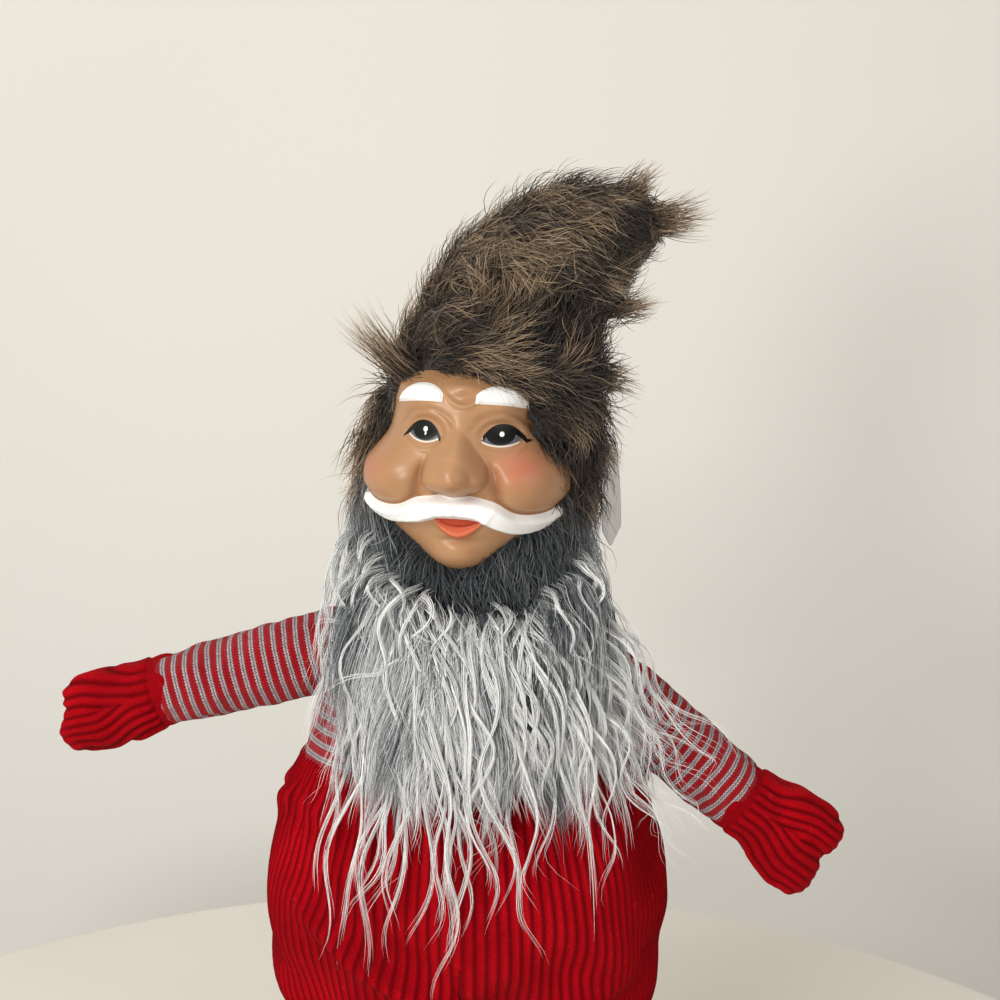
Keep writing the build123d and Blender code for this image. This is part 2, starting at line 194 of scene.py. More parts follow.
class Paint:
    """A Principled material, with short ways to add its nodes."""

    def __init__(self, name, **values):
        self.material = bpy.data.materials.new(name)
        self.material.use_nodes = True
        self.tree = self.material.node_tree
        self.shader = self.tree.nodes["Principled BSDF"]
        for key, value in values.items():
            self.shader.inputs[key.replace("_", " ")].default_value = value

    def put(self, kind, inputs=(), **settings):
        node = self.tree.nodes.new(kind)
        for key, value in settings.items():
            setattr(node, key, value)
        for key, value in dict(inputs).items():
            if isinstance(value, bpy.types.NodeSocket):
                self.tree.links.new(value, node.inputs[key])
            else:
                node.inputs[key].default_value = value
        return node

    def calc(self, operation, *numbers):
        return self.put("ShaderNodeMath", dict(enumerate(numbers)), operation=operation).outputs[0]

    def mix(self, factor, a, b, blend="MIX"):
        node = self.put("ShaderNodeMix", {0: factor, 6: a, 7: b}, data_type="RGBA", blend_type=blend)
        return node.outputs[2]

    def ramp(self, factor, stops):
        node = self.put("ShaderNodeValToRGB", {0: factor})
        while len(node.color_ramp.elements) < len(stops):
            node.color_ramp.elements.new(0.5)
        for element, (position, colour) in zip(node.color_ramp.elements, stops):
            element.position, element.color = position, colour
        return node.outputs[0]

    def step(self, value, low, high):
        node = self.put("ShaderNodeMapRange", {0: value, 1: low, 2: high}, interpolation_type="SMOOTHSTEP")
        return node.outputs[0]

    def attribute(self, name):
        return self.put("ShaderNodeAttribute", attribute_name=name).outputs["Fac"]

    def uv(self):
        layer = self.put("ShaderNodeUVMap", uv_map="OFBake")
        split = self.put("ShaderNodeSeparateXYZ", {0: layer.outputs[0]})
        return split.outputs[0], split.outputs[1]

    def place(self):
        return self.put("ShaderNodeTexCoord").outputs["Object"]

    def noise(self, size, detail=3.0):
        """Noise with lumps about `size` mm across."""
        node = self.put("ShaderNodeTexNoise", {"Vector": self.place(), "Scale": 1 / (size * MM),
                                               "Detail": detail, "Roughness": 0.55})
        return node.outputs[0]

    def set(self, socket, value):
        self.tree.links.new(value, self.shader.inputs[socket])

    def bump(self, height, distance, strength=1.0):
        node = self.put("ShaderNodeBump", {"Height": height, "Distance": distance * MM, "Strength": strength})
        self.set("Normal", node.outputs[0])


def hair_paint(name, dark, light, roughness=0.5, sheen=0.15):
    """Fur whose colour runs from root (v=0) to tip (v=1), between a dark and a light strand (u); the darker
    roots are partly painted shade deep in the pile, partly the fur's own paler tips.
    """
    p = Paint(name, Roughness=roughness, Sheen_Weight=sheen, Sheen_Roughness=0.4, Specular_IOR_Level=0.35)
    u, v = p.uv()
    p.set("Base Color", p.mix(p.step(u, 0.05, 0.95), p.ramp(v, dark), p.ramp(v, light)))
    return p.material


# each ramp darkens towards the root: painted shade inside the pile, besides the fur's own frosted tips
hat_hair = hair_paint(
    "hat_pile",
    [(0.0, rgb(10, 9, 9)), (0.35, rgb(27, 22, 18)), (0.7, rgb(58, 46, 35)), (1.0, rgb(98, 77, 58))],
    [(0.0, rgb(40, 33, 27)), (0.3, rgb(112, 91, 68)), (0.65, rgb(178, 150, 118)), (1.0, rgb(226, 206, 176))])
hood_hair = hair_paint(
    "hood_pile",
    [(0.0, rgb(30, 33, 37)), (0.5, rgb(62, 67, 72)), (1.0, rgb(112, 117, 121))],
    [(0.0, rgb(62, 67, 71)), (0.4, rgb(128, 133, 136)), (0.75, rgb(192, 195, 196)),
     (1.0, rgb(232, 232, 230))])
under_hair = hair_paint(
    "beard_undercoat",
    [(0.0, rgb(66, 72, 77)), (0.5, rgb(78, 85, 90)), (1.0, rgb(122, 128, 132))],
    [(0.0, rgb(164, 169, 171)), (0.35, rgb(216, 219, 220)), (1.0, rgb(250, 251, 251))])
lock_hair = hair_paint(
    "beard_locks",
    [(0.0, rgb(150, 154, 154)), (0.3, rgb(216, 218, 216)), (1.0, rgb(244, 244, 242))],
    [(0.0, rgb(206, 208, 206)), (0.2, rgb(250, 250, 248)), (1.0, rgb(255, 255, 254))],
    roughness=0.42, sheen=0.6)


def backing_paint(name, dark, light):
    p = Paint(name, Roughness=0.95, Sheen_Weight=0.3)
    p.set("Base Color", p.ramp(p.noise(2.0, 5), [(0.3, dark), (0.75, light)]))
    p.bump(p.noise(0.7, 4), 0.8)
    return p.material


hat_backing = backing_paint("hat_backing", rgb(22, 18, 15), rgb(58, 46, 37))
hood_backing = backing_paint("hood_backing", rgb(24, 26, 28), rgb(60, 64, 67))
beard_backing = backing_paint("beard_backing", rgb(54, 58, 61), rgb(104, 109, 111))


def corduroy_paint():
    """Red cotton corduroy with painted shade: brighter on the wales' tops, nearly black-red in the grooves.
    """
    p = Paint("red_corduroy", Roughness=0.95, Sheen_Weight=0.12, Sheen_Roughness=0.4,
              Sheen_Tint=rgb(255, 50, 50), Specular_IOR_Level=0.06)
    wale = p.attribute("wale")
    cloth = p.ramp(p.noise(34.0, 3), [(0.3, rgb(156, 4, 16)), (0.7, rgb(192, 8, 24))])
    fuzz = p.ramp(p.noise(0.8, 4), [(0.3, rgb(170, 150, 150)), (0.7, rgb(255, 255, 255))])
    top = p.mix(0.55, cloth, fuzz, "MULTIPLY")
    worn = p.mix(p.step(p.noise(6.0, 5), 0.62, 0.8), top, rgb(204, 20, 30))
    # painted shade: near black-red in the grooves between the wales, where the wale attribute is low
    p.set("Base Color", p.mix(p.step(wale, -0.1, 0.8), rgb(104, 1, 9), worn))
    p.bump(p.calc("ADD", p.noise(0.7, 4), p.calc("MULTIPLY", p.noise(3.0, 3), 0.8)), 0.9)
    return p.material


def jersey_paint():
    """Weft-knitted jersey, grey stripes on red; u along and v across the stripes, in tenths of a metre."""
    p = Paint("striped_jersey", Roughness=0.9, Sheen_Weight=0.08, Sheen_Roughness=0.4, Specular_IOR_Level=0.2)
    stitch_wide, stitch_tall, stripe_pair = 1.4, 1.21, 4.0  # mm, mm, stitches
    u, v = p.uv()
    wale = p.calc("MULTIPLY", u, 100 / stitch_wide)
    course = p.calc("MULTIPLY", v, 100 / stitch_tall)
    side = p.calc("ABSOLUTE", p.calc("SUBTRACT", p.calc("FRACT", wale), 0.5))
    leaning = p.calc("SUBTRACT", course, p.calc("MULTIPLY", side, 1.1))
    stripe = p.calc("FRACT", p.calc("DIVIDE", leaning, stripe_pair))
    grey = p.calc("MULTIPLY", p.step(stripe, 0.02, 0.08), p.step(stripe, 0.49, 0.43))
    loop = p.calc("ABSOLUTE", p.calc("SUBTRACT", p.calc("FRACT", leaning), 0.5))
    height = p.calc("MULTIPLY", p.step(loop, 0.5, 0.2), p.step(side, 0.0, 0.16))
    height = p.calc("MULTIPLY", height, p.step(side, 0.5, 0.4))
    red = p.ramp(p.noise(14.0, 3), [(0.3, rgb(168, 5, 18)), (0.7, rgb(194, 9, 26))])
    pale = p.ramp(p.noise(1.2, 4), [(0.3, rgb(160, 152, 156)), (0.7, rgb(212, 206, 208))])
    cloth = p.mix(grey, red, pale)
    # painted shade: darker red and grey in the gaps between the knitted loops
    gap_shade = p.mix(grey, rgb(120, 4, 14), rgb(86, 36, 44))
    p.set("Base Color", p.mix(p.step(height, 0.05, 0.7), gap_shade, cloth))
    p.bump(p.calc("ADD", height, p.calc("MULTIPLY", p.noise(0.5, 3), 0.25)), 0.5, 0.8)
    return p.material


def felt_paint():
    p = Paint("brown_felt", Roughness=0.95, Sheen_Weight=0.5, Sheen_Roughness=0.45)
    fibres = p.put("ShaderNodeTexNoise", {"Vector": p.put("ShaderNodeMapping", {
        "Vector": p.place(), "Scale": (1.0, 1.0, 2.4)}).outputs[0], "Scale": 900.0, "Detail": 6.0})
    base = p.ramp(p.noise(9.0, 4), [(0.3, rgb(66, 49, 38)), (0.7, rgb(88, 67, 52))])
    p.set("Base Color", p.mix(p.step(fibres.outputs[0], 0.52, 0.72), base, rgb(122, 99, 80)))
    p.bump(fibres.outputs[0], 0.5)
    return p.material


def sole_paint():
    p = Paint("crepe_sole", Roughness=0.8)
    p.set("Base Color", p.ramp(p.noise(3.0, 6), [(0.3, rgb(44, 37, 32)), (0.7, rgb(62, 53, 46))]))
    p.bump(p.noise(0.9, 4), 0.3)
    return p.material


def satin_paint():
    p = Paint("satin_tape", Roughness=0.38, Sheen_Weight=0.2)
    _, v = p.uv()
    threads = p.calc("SINE", p.calc("MULTIPLY", v, 820.0))
    p.set("Base Color", p.mix(p.step(threads, -1.0, 1.0), rgb(226, 225, 222), rgb(242, 241, 238)))
    p.bump(threads, 0.05)
    return p.material


def plain_paint(name, low, high, size, roughness, **values):
    p = Paint(name, Roughness=roughness, **values)
    p.set("Base Color", p.ramp(p.noise(size, 4), [(0.3, low), (0.7, high)]))
    p.bump(p.noise(size / 3, 3), 0.15)
    return p.material


corduroy, jersey = corduroy_paint(), jersey_paint()
felt, sole_crepe = felt_paint(), sole_paint()
thread = plain_paint("pale_thread", rgb(176, 158, 132), rgb(206, 190, 164), 0.6, 0.8)


def face_paint():
    """Moulded vinyl with a matt painted skin, blushed cheeks, painted shade in its hollows, and glossy eyes.
    """
    p = Paint("painted_face", Subsurface_Weight=0.06, Subsurface_Radius=(0.004, 0.002, 0.001),
              Specular_IOR_Level=0.36)
    skin = p.ramp(p.noise(16.0, 4), [(0.3, rgb(168, 124, 86)), (0.7, rgb(180, 137, 99))])
    # painted shade: the face's hollows darken towards a deep brown
    skin = p.mix(p.calc("MULTIPLY", p.attribute("hollow"), 0.6), skin, rgb(126, 74, 36))
    skin = p.mix(p.calc("MULTIPLY", p.attribute("blush"), 0.46), skin, rgb(198, 88, 78))
    lips = p.mix(p.step(p.attribute("lip_line"), -0.5, 0.4), rgb(206, 106, 72), rgb(178, 66, 38))
    skin = p.mix(p.step(p.attribute("lips"), -0.12, 0.12), skin, lips)
    scuff = p.mix(p.step(p.noise(0.7, 5), 0.7, 0.76), rgb(240, 239, 236), rgb(176, 158, 140))
    whites = p.mix(p.step(p.noise(7.0, 3), 0.55, 0.75), rgb(242, 241, 238), scuff)
    in_white, in_black = (p.step(p.attribute(name), -0.1, 0.1) for name in ("white", "black"))
    colour = p.mix(in_white, skin, whites)
    colour = p.mix(p.step(p.attribute("lid"), -0.1, 0.1), colour, rgb(226, 212, 196))
    colour = p.mix(p.step(p.attribute("rim"), -0.1, 0.1), colour, rgb(96, 98, 104))
    colour = p.mix(in_black, colour, rgb(1, 1, 2))
    colour = p.mix(p.step(p.attribute("glint"), -0.08, 0.08), colour, rgb(250, 250, 248))
    p.set("Base Color", colour)
    matt = p.calc("ADD", 0.34, p.calc("MULTIPLY", in_white, 0.26))
    p.set("Roughness", p.calc("ADD", matt, p.calc("MULTIPLY", in_black, 0.1)))
    p.bump(p.noise(0.6, 3), 0.03, 0.5)
    return p.material


# ---- fur ------------------------------------------------------------------------------------
def strand_mesh(name, paths, radius, shade, material, seed, pieces=1, taper=0.65):
    """Strands as three-sided tapering tubes: paths is (count, steps, 3) in mm, the rest per strand."""
    rng = np.random.default_rng(seed)
    count, steps = paths.shape[:2]
    t = np.linspace(0, 1, steps)
    tangent = unit(np.gradient(paths, axis=1))
    side = unit(np.cross(tangent, unit(rng.normal(size=(count, 1, 3)))))
    up = np.cross(tangent, side)
    width = radius[:, None] * ((1 - t) ** taper * (0.55 + 0.45 * smooth(t, 0, 0.25)))[None]
    angle = np.arange(3) * 2 * math.pi / 3
    ring = (paths[:, :-1, None] + width[:, :-1, None, None]
            * (np.cos(angle)[:, None] * side[:, :-1, None] + np.sin(angle)[:, None] * up[:, :-1, None]))
    points = np.concatenate([ring.reshape(count, -1, 3), paths[:, -1:]], 1)
    size = points.shape[1]
    quads = grid_faces(steps - 1, 3, True)
    last = (steps - 2) * 3
    tips = np.array([[last + c, last + (c + 1) % 3, size - 1] for c in range(3)])
    along = np.concatenate([np.repeat(t[:-1], 3), [1.0]])
    made = []
    for part, chosen in enumerate(np.array_split(np.arange(count), pieces)):
        base = (np.arange(len(chosen)) * size)[:, None, None]
        uv = stacked(np.clip(shade[chosen], 0.02, 0.98)[:, None], along * 0.96 + 0.02)
        made.append(make_mesh(f"{name}_{part + 1}" if pieces > 1 else name, points[chosen].reshape(-1, 3),
                              [(quads[None] + base).reshape(-1, 4), (tips[None] + base).reshape(-1, 3)],
                              material, uv=uv.reshape(-1, 2)))
    return made


def clumped(paths, shade, groups, pull, rng, spread=0.12, power=1.4):
    """Draws strands together towards their nearest leader's tip, and shades them alike."""
    count, steps = paths.shape[:2]
    leaders = rng.choice(count, groups, replace=False)
    tree = KDTree(groups)
    for i, leader in enumerate(leaders):
        tree.insert(paths[leader, 0], i)
    tree.balance()
    mine = np.array([tree.find(p)[1] for p in paths[:, 0]])
    t = np.linspace(0, 1, steps)[None, :, None]
    lead = paths[leaders][mine]
    own = (paths[:, :1] - lead[:, :1]) * spread
    amount = np.asarray(pull).reshape(-1, 1, 1) * t**power
    paths = paths + (lead + own - paths) * amount
    tone = rng.normal(size=groups)[mine]
    return paths, np.clip(shade + 0.17 * tone, 0, 1)


def grow(place, normal, comb, length, steps, lift, rng, hug, wave, stray):
    """Strand paths that start along lift * normal + comb and lie down towards the comb's direction."""
    count = len(place)
    t = np.linspace(0, 1, steps)
    comb = unit(comb + rng.normal(size=(count, 3)) * stray)
    lift = np.broadcast_to(np.asarray(lift, float), (count,))[:, None]
    bend = unit(rng.normal(size=(count, 3)))
    phase = rng.uniform(0, 6.3, (count, 1))
    paths = [place]
    for k in range(1, steps):
        s = t[k]
        way = comb + normal * (lift * (1 - s) ** 1.5 - hug * s) + bend * wave * np.sin(phase + 5 * s)
        paths.append(paths[-1] + unit(way) * (length[:, None] / (steps - 1)))
    return np.stack(paths, 1)


def flat_on(direction, normal):
    """The part of a direction that lies in the surface."""
    direction = np.broadcast_to(np.asarray(direction, float), normal.shape)
    return unit(direction - normal * (direction * normal).sum(-1, keepdims=True))


def turned(direction, normal, angle):
    """A surface direction turned about the normal."""
    angle = np.asarray(angle).reshape(-1, 1)
    return direction * np.cos(angle) + np.cross(normal, direction) * np.sin(angle)


def from_face(point):
    """Roughly how far outside the face opening a point is, in mm; negative inside it, far behind the face."""
    x, y, z = point[..., 0] - HEAD_X, point[..., 1] - AXIS_Y, point[..., 2]
    across = x * math.cos(FACE_YAW) - y * math.sin(FACE_YAW)
    forward = -x * math.sin(FACE_YAW) - y * math.cos(FACE_YAW)
    # the opening: a wide egg, fullest at the cheeks and drawn in to the chin
    half = table([(308, 0), (311, 4), (314, 9), (318, 15), (323, 22), (329, 28.5), (335, 33.5), (341, 36.5),
                  (347, 36), (352, 33), (357, 30), (365, 28.5), (372, 27), (376, 25), (380, 20),
                  (384, 5)], z)[..., 1]
    edge = np.abs(across + 1.0) - half
    outside = np.maximum(edge, np.maximum(z - 382, 310 - z))
    return np.where(forward > 8, outside, 60.0)


def fur_backing(name, grid, overlap, material):
    """A closed skin under the pile, with the face opening cut out less `overlap` mm."""
    faces = grid_faces(*grid.shape[:2], True)
    faces = faces[(from_face(grid).reshape(-1)[faces] > -overlap).all(1)]
    return make_mesh(name, grid.reshape(-1, 3), [faces], material)


# ---- hat ------------------------------------------------------------------------------------
# the pile's backing: (share along, x, z, lean, radius), from the brim to the bent tip
HAT = [(0.0, HEAD_X + 1, 334, 0, 45.5), (0.14, HEAD_X + 5, 360, 0, 44.5), (0.29, HEAD_X + 11, 384, 5, 41),
       (0.42, HEAD_X + 16, 402, 14, 35.5), (0.54, HEAD_X + 23, 416, 28, 31.5),
       (0.66, HEAD_X + 34, 428, 46, 27.5), (0.78, HEAD_X + 47, 437, 62, 22), (0.88, HEAD_X + 58, 443, 68, 16),
       (0.95, HEAD_X + 66, 446, 68, 10.5), (1.0, HEAD_X + 72, 448, 68, 2.5)]
def hat_comb(place, normal, axis):
    """The way the hat's pile lies: down over the brim, and swirling towards the tip above it."""
    swirl = (np.radians(24) * (normal[:, 1] < 0.4) + np.radians(44) * ripple(place, 50, 21)
             + 0.62 * ripple(place, 17, 22))
    up = turned(flat_on(axis, normal), normal, -swirl)
    down = flat_on((0, 0, -1), normal) + normal * 0.2
    high = smooth(place[:, 2] + 5 * ripple(place, 24, 23), 368, 390)[:, None]
    forehead = smooth(-place[:, 1], 20, 44)[:, None] * smooth(place[:, 2], 352, 372)[:, None]
    high = np.maximum(high, forehead)
    comb = unit(down * (1 - high) + up * high + 1e-4)
    fringe = bell(from_face(place), 0, 10) * smooth(place[:, 2], 364, 374)
    return unit(comb + fringe[:, None] * np.array([0.25, -0.9, -1.3]))


def make_hat():
    """The hat's backing and the coat of pile on it."""
    rows, columns = 70, 96
    ring = table(HAT, np.linspace(0, 1, rows))
    x, z, lean, radius = ring[:, 1:2], ring[:, 2:3], np.radians(ring[:, 3:4]), ring[:, 4:5]
    turn = circle(columns)
    grid = stacked(x + radius * np.cos(turn) * np.cos(lean), AXIS_Y + radius * np.sin(turn),
                   z - radius * np.cos(turn) * np.sin(lean))
    outward = grid_normals(grid, True)
    grid = grid + outward * (1.3 * ripple(grid, 42, 3) + 0.6 * ripple(grid, 17, 4))[..., None]
    skin = fur_backing("hat_backing", grid, 2, hat_backing)

    rng = np.random.default_rng(11)
    weight = (from_face(grid) > 0) * (0.8 + 0.5 * (outward[..., 1] < 0.3))
    place, normal = scatter(grid, outward, True, 18500, rng, weight)
    # a strand takes its way to the tip from the nearest point of the hat's bent axis
    middles = np.stack([ring[:, 1], 0 * ring[:, 1], ring[:, 2]], -1)
    nearest = KDTree(rows)
    for i, (mx, _, mz) in enumerate(middles):
        nearest.insert((mx, AXIS_Y, mz), i)
    nearest.balance()
    row = np.array([nearest.find((p[0], AXIS_Y, p[2]))[1] for p in place])
    comb = hat_comb(place, normal, unit(np.gradient(middles, axis=0))[row])
    length = rng.uniform(13, 27, len(place)) * (0.72 + 0.28 * smooth(from_face(place), 2, 16))
    length *= 1 - 0.4 * smooth(place[:, 0], HEAD_X + 46, HEAD_X + 68)
    paths = grow(place, normal, comb, length, 7, 0.6 + 0.4 * ripple(place, 14, 24), rng, hug=0.42, wave=0.42,
                 stray=0.32)
    shade = 0.36 + 0.5 * ripple(place, 20, 25) + 0.22 * ripple(place, 9, 26)
    shade += rng.normal(size=len(place)) * 0.14
    # painted shade: strands made darker on the doll's left and lower side, away from the key lamp
    shade -= 0.4 * smooth(place[:, 0] - 0.55 * (place[:, 2] - 384), HEAD_X + 4, HEAD_X + 42)
    paths, shade = clumped(paths, shade, 1900, 0.05 + 0.6 * rng.random(len(place)), rng, spread=0.25)
    thick = rng.uniform(0.16, 0.29, len(place))
    return skin, strand_mesh("hat_fur", paths, thick, shade, hat_hair, 12, pieces=4)


def tuft(middle, way, count, length, radius, seed, curl=(0, 0, 0), spread=0.3):
    """A wisp of pile that stands out from the coat and narrows a little towards its tip."""
    rng = np.random.default_rng(seed)
    roots = np.array(middle) + rng.normal(size=(count, 3)) * radius
    long = length * rng.uniform(0.4, 1.05, count)
    t = np.linspace(0, 1, 9)[None, :, None]
    way = unit(unit(np.array(way, float))[None] + rng.normal(size=(count, 3)) * spread)
    curl = np.array(curl, float) + rng.normal(size=(count, 3)) * 0.12
    paths = roots[:, None] + long[:, None, None] * (way[:, None] * t + curl[:, None] * t**2)
    centre = paths.mean(0, keepdims=True)
    paths = centre + (paths - centre) * (1 - 0.3 * t)
    return paths, np.clip(0.6 + rng.normal(size=count) * 0.2, 0, 1)


tufts = [
    tuft((-15, -21, 385), (-0.82, -0.15, 0.5), 150, 31, 3.0, 31, (-0.05, 0, 0.34), spread=0.16),
    tuft((HEAD_X + 70, 1, 446), (1, -0.1, 0.0), 230, 27, 3.0, 32, (0, 0, 0.16)),
    tuft((HEAD_X + 62, -2, 456), (0.6, -0.1, 0.7), 130, 15, 3.6, 33, (0.2, 0, 0.0)),
    tuft((HEAD_X + 58, -6, 410), (1, -0.15, 0.0), 130, 19, 2.8, 34, (0, 0, 0.16)),
    tuft((HEAD_X + 50, -6, 382), (0.9, -0.2, 0.1), 120, 19, 3.4, 35, (0, 0, -0.2)),
    tuft((HEAD_X + 48, -4, 356), (0.6, -0.3, -0.7), 110, 18, 3.4, 36),
    tuft((-32, -10, 360), (-0.4, -0.1, -0.9), 130, 24, 3.4, 37),
    tuft((HEAD_X + 48, -14, 424), (0.8, -0.3, -0.45), 110, 18, 3.4, 38),
]
tuft_paths, tuft_shade = (np.concatenate(parts) for parts in zip(*tufts))
hat_skin, hat_fur = make_hat()
hat_tufts = strand_mesh("hat_tufts", tuft_paths, np.full(len(tuft_paths), 0.24), tuft_shade, hat_hair, 40)
hat_pieces = [hat_skin, *hat_fur, *hat_tufts]

# ---- hood -----------------------------------------------------------------------------------
# the hood's backing: (height, half width, half depth)
HOOD = [(284.5, 27, 26), (291, 37, 35), (300, 42, 40), (312, 45, 42.5), (326, 45.5, 43), (340, 44.5, 43),
        (356, 41, 40)]


def make_hood():
    """The hood's backing and its pile, brushed away from the face and hanging at the sides."""
    rows, columns = 46, 110
    ring = table(HOOD, np.linspace(HOOD[0][0], HOOD[-1][0], rows))
    turn = circle(columns)
    grid = stacked(HEAD_X + ring[:, 1:2] * np.cos(turn), AXIS_Y + ring[:, 2:3] * np.sin(turn), ring[:, :1])
    skin = fur_backing("hood_backing", grid, 3, hood_backing)

    rng = np.random.default_rng(51)
    weight = (from_face(grid) > -1) * (0.5 + 0.9 * smooth(-grid[..., 1], -20, 20))
    place, normal = scatter(grid, grid_normals(grid, True), True, 13000, rng, weight)
    away = flat_on(unit(place - np.array([HEAD_X - 4, AXIS_Y - 40, 345])), normal)
    under = smooth(-place[:, 2], -330, -312)[:, None] * smooth(-place[:, 1], 5, 25)[:, None]
    comb = unit(away * 0.7 * under + flat_on((0, 0, -1), normal) * 0.9 + 0.35 * (1 - under) * away)
    comb = turned(comb, normal, 0.5 * ripple(place, 18, 52) + 0.25 * ripple(place, 8, 53))
    flank = smooth(np.abs(place[:, 0] - HEAD_X), 30, 44)
    length = rng.uniform(10, 17, len(place)) + 16 * flank * rng.random(len(place))
    length += 5 * under[:, 0] * rng.random(len(place))
    comb = unit(comb + flank[:, None] * np.array([0, 0, -1.2]))
    lift = (0.75 + 0.35 * ripple(place, 10, 54)) * (1 - 0.7 * flank)
    paths = grow(place, normal, comb, length, 6, lift, rng, hug=0.34, wave=0.36, stray=0.26)
    pale = smooth(np.abs(place[:, 0] - HEAD_X + 2), 36, 50) * smooth(-place[:, 1], -30, 0)
    shade = 0.06 + 0.14 * ripple(place, 12, 55) + rng.normal(size=len(place)) * 0.16 + 0.6 * pale
    paths, shade = clumped(paths, shade, 1500, 0.5 * rng.random(len(place)), rng)
    clear = from_face(paths).min(1) > -3.5
    thick = rng.uniform(0.17, 0.27, clear.sum())
    return skin, strand_mesh("hood_fur", paths[clear], thick, shade[clear], hood_hair, 56, pieces=2)


hood_skin, hood_fur = make_hood()


def limb(point, slope, side):
    """(origin, outwards, upwards) of an arm or a hand."""
    return (np.array([point[0], AXIS_Y, point[1]]),
            np.array([WAY[side] * math.cos(slope), 0, -math.sin(slope)]),
            np.array([WAY[side] * math.sin(slope), 0, math.cos(slope)]))


def wrist_of(side):
    """Where a mitten is sewn to its sleeve."""
    origin, along, _ = limb(SHOULDER[side], ARM_SLOPE[side], side)
    return origin + along * ARM_LENGTH


# ---- beard ----------------------------------------------------------------------------------
def pushed_out(point, clear):
    """Moves points that are inside the doll's trunk or arms out to about `clear` mm from them."""
    size = table(TRUNK, point[:, 2])
    x, y = point[:, 0] - TRUNK_X, point[:, 1] - AXIS_Y
    near = np.sqrt((x / (size[:, 1] + clear)) ** 2 + (y / (size[:, 2] + clear)) ** 2)
    scale = np.maximum(1, 1 / np.maximum(near, 1e-6))
    out = point.copy()
    out[:, 0] = TRUNK_X + x * scale
    out[:, 1] = AXIS_Y + y * scale
    for side in WAY:
        origin, along, _ = limb(SHOULDER[side], ARM_SLOPE[side], side)
        off = out - origin
        off = off - np.clip(off @ along, -4, ARM_LENGTH + 1)[:, None] * along
        short = np.maximum(0, SLEEVE_RADIUS + 2 + 0.4 * clear - np.linalg.norm(off, axis=1))
        out += unit(off + (0, -0.001, 0)) * short[:, None]
    return out


def hang(roots, way, length, steps, clear, rng, wave, pitch, settle, seed, drift=0.0):
    """Long hair that falls over the trunk: it starts along `way`, bends down and stays out of the body."""
    count = len(roots)
    phase = rng.uniform(0, 6.3, count)
    turn = rng.uniform(0.8, 1.25, count) * 2 * math.pi / pitch
    size = wave * rng.uniform(0.4, 1.4, count)
    heading = unit(way)
    paths = [roots]
    step = length / (steps - 1)
    for k in range(1, steps):
        gone = step * k
        sway = drift + 0.34 * ripple(paths[-1], 46, 70 + seed) + size * turn * np.cos(turn * gone + phase)
        down = stacked(sway, 0.1 * np.sin(turn * gone * 0.8 + phase), -1.0)
        heading = unit(heading * (1 - settle) + unit(down) * settle)
        paths.append(pushed_out(paths[-1] + heading * step[:, None], clear))
    return np.stack(paths, 1)


# where the long pile is rooted: (height, half width, half depth), from the belly to the hood's edge
ROOTS = [(230, 63, 55), (245, 62, 54), (262, 57, 52), (283, 52, 49), (301, 47, 46), (318, 45, 45),
         (345, 44, 46)]


def rooted(angle, z):
    """Points where long hair grows, at angles from the front and heights z."""
    size = table(ROOTS, z)
    spot = np.stack([AXIS_X + 4 + size[:, 1] * np.sin(angle), AXIS_Y - size[:, 2] * np.cos(angle), z], -1)
    return pushed_out(spot, 1.0)


def dip(angle):
    """The root line's height against its mean: low under the chin, high towards the ears."""
    return 14 * smooth(np.abs(angle - 0.1), 0.15, 0.95) - 7


def beard_undercoat():
    """Fine hair rooted all over the panel, its ends fading out over the belly."""
    rng = np.random.default_rng(61)
    count = 9500
    root_z = 299 - 61 * rng.random(count) ** 1.15
    upper = smooth(root_z, 268, 292)  # the panel is wider at the top
    angle = np.radians(rng.uniform(0, 1, count) * (112 + 26 * upper) - 51 - 13 * upper)
    root_z += dip(angle) * smooth(root_z, 262, 299)
    roots = rooted(angle, root_z)
    out = unit(stacked(np.sin(angle) * 0.8, -np.cos(angle), -0.3 + 0.9 * smooth(root_z, 290, 302)))
    ends_z = 221 + 13 * ripple(roots, 26, 66) + rng.normal(size=count) * 9
    ends_z += 26 * smooth(np.abs(angle), 0.9, 1.35)
    length = np.clip(np.minimum(root_z - ends_z, rng.uniform(40, 92, count)), 16, 92)
    clear = 2.0 + 8.0 * rng.random(count)
    paths = hang(roots, out, length, 9, clear, rng, wave=1.6, pitch=36, settle=0.45, seed=1)
    shade = 0.5 + 0.46 * ripple(roots * (1, 1, 0.35), 18, 62) + rng.normal(size=count) * 0.2
    # painted shade: the undercoat's strands darker at its top, under the chin
    shade -= 0.2 * smooth(roots[:, 2], 292, 302)
    paths, shade = clumped(paths, shade, 420, 0.8 * rng.random(count), rng, spread=0.35, power=1.1)
    thick = rng.uniform(0.14, 0.24, count)
    return strand_mesh("beard_undercoat", paths, thick, shade, under_hair, 63, pieces=3)


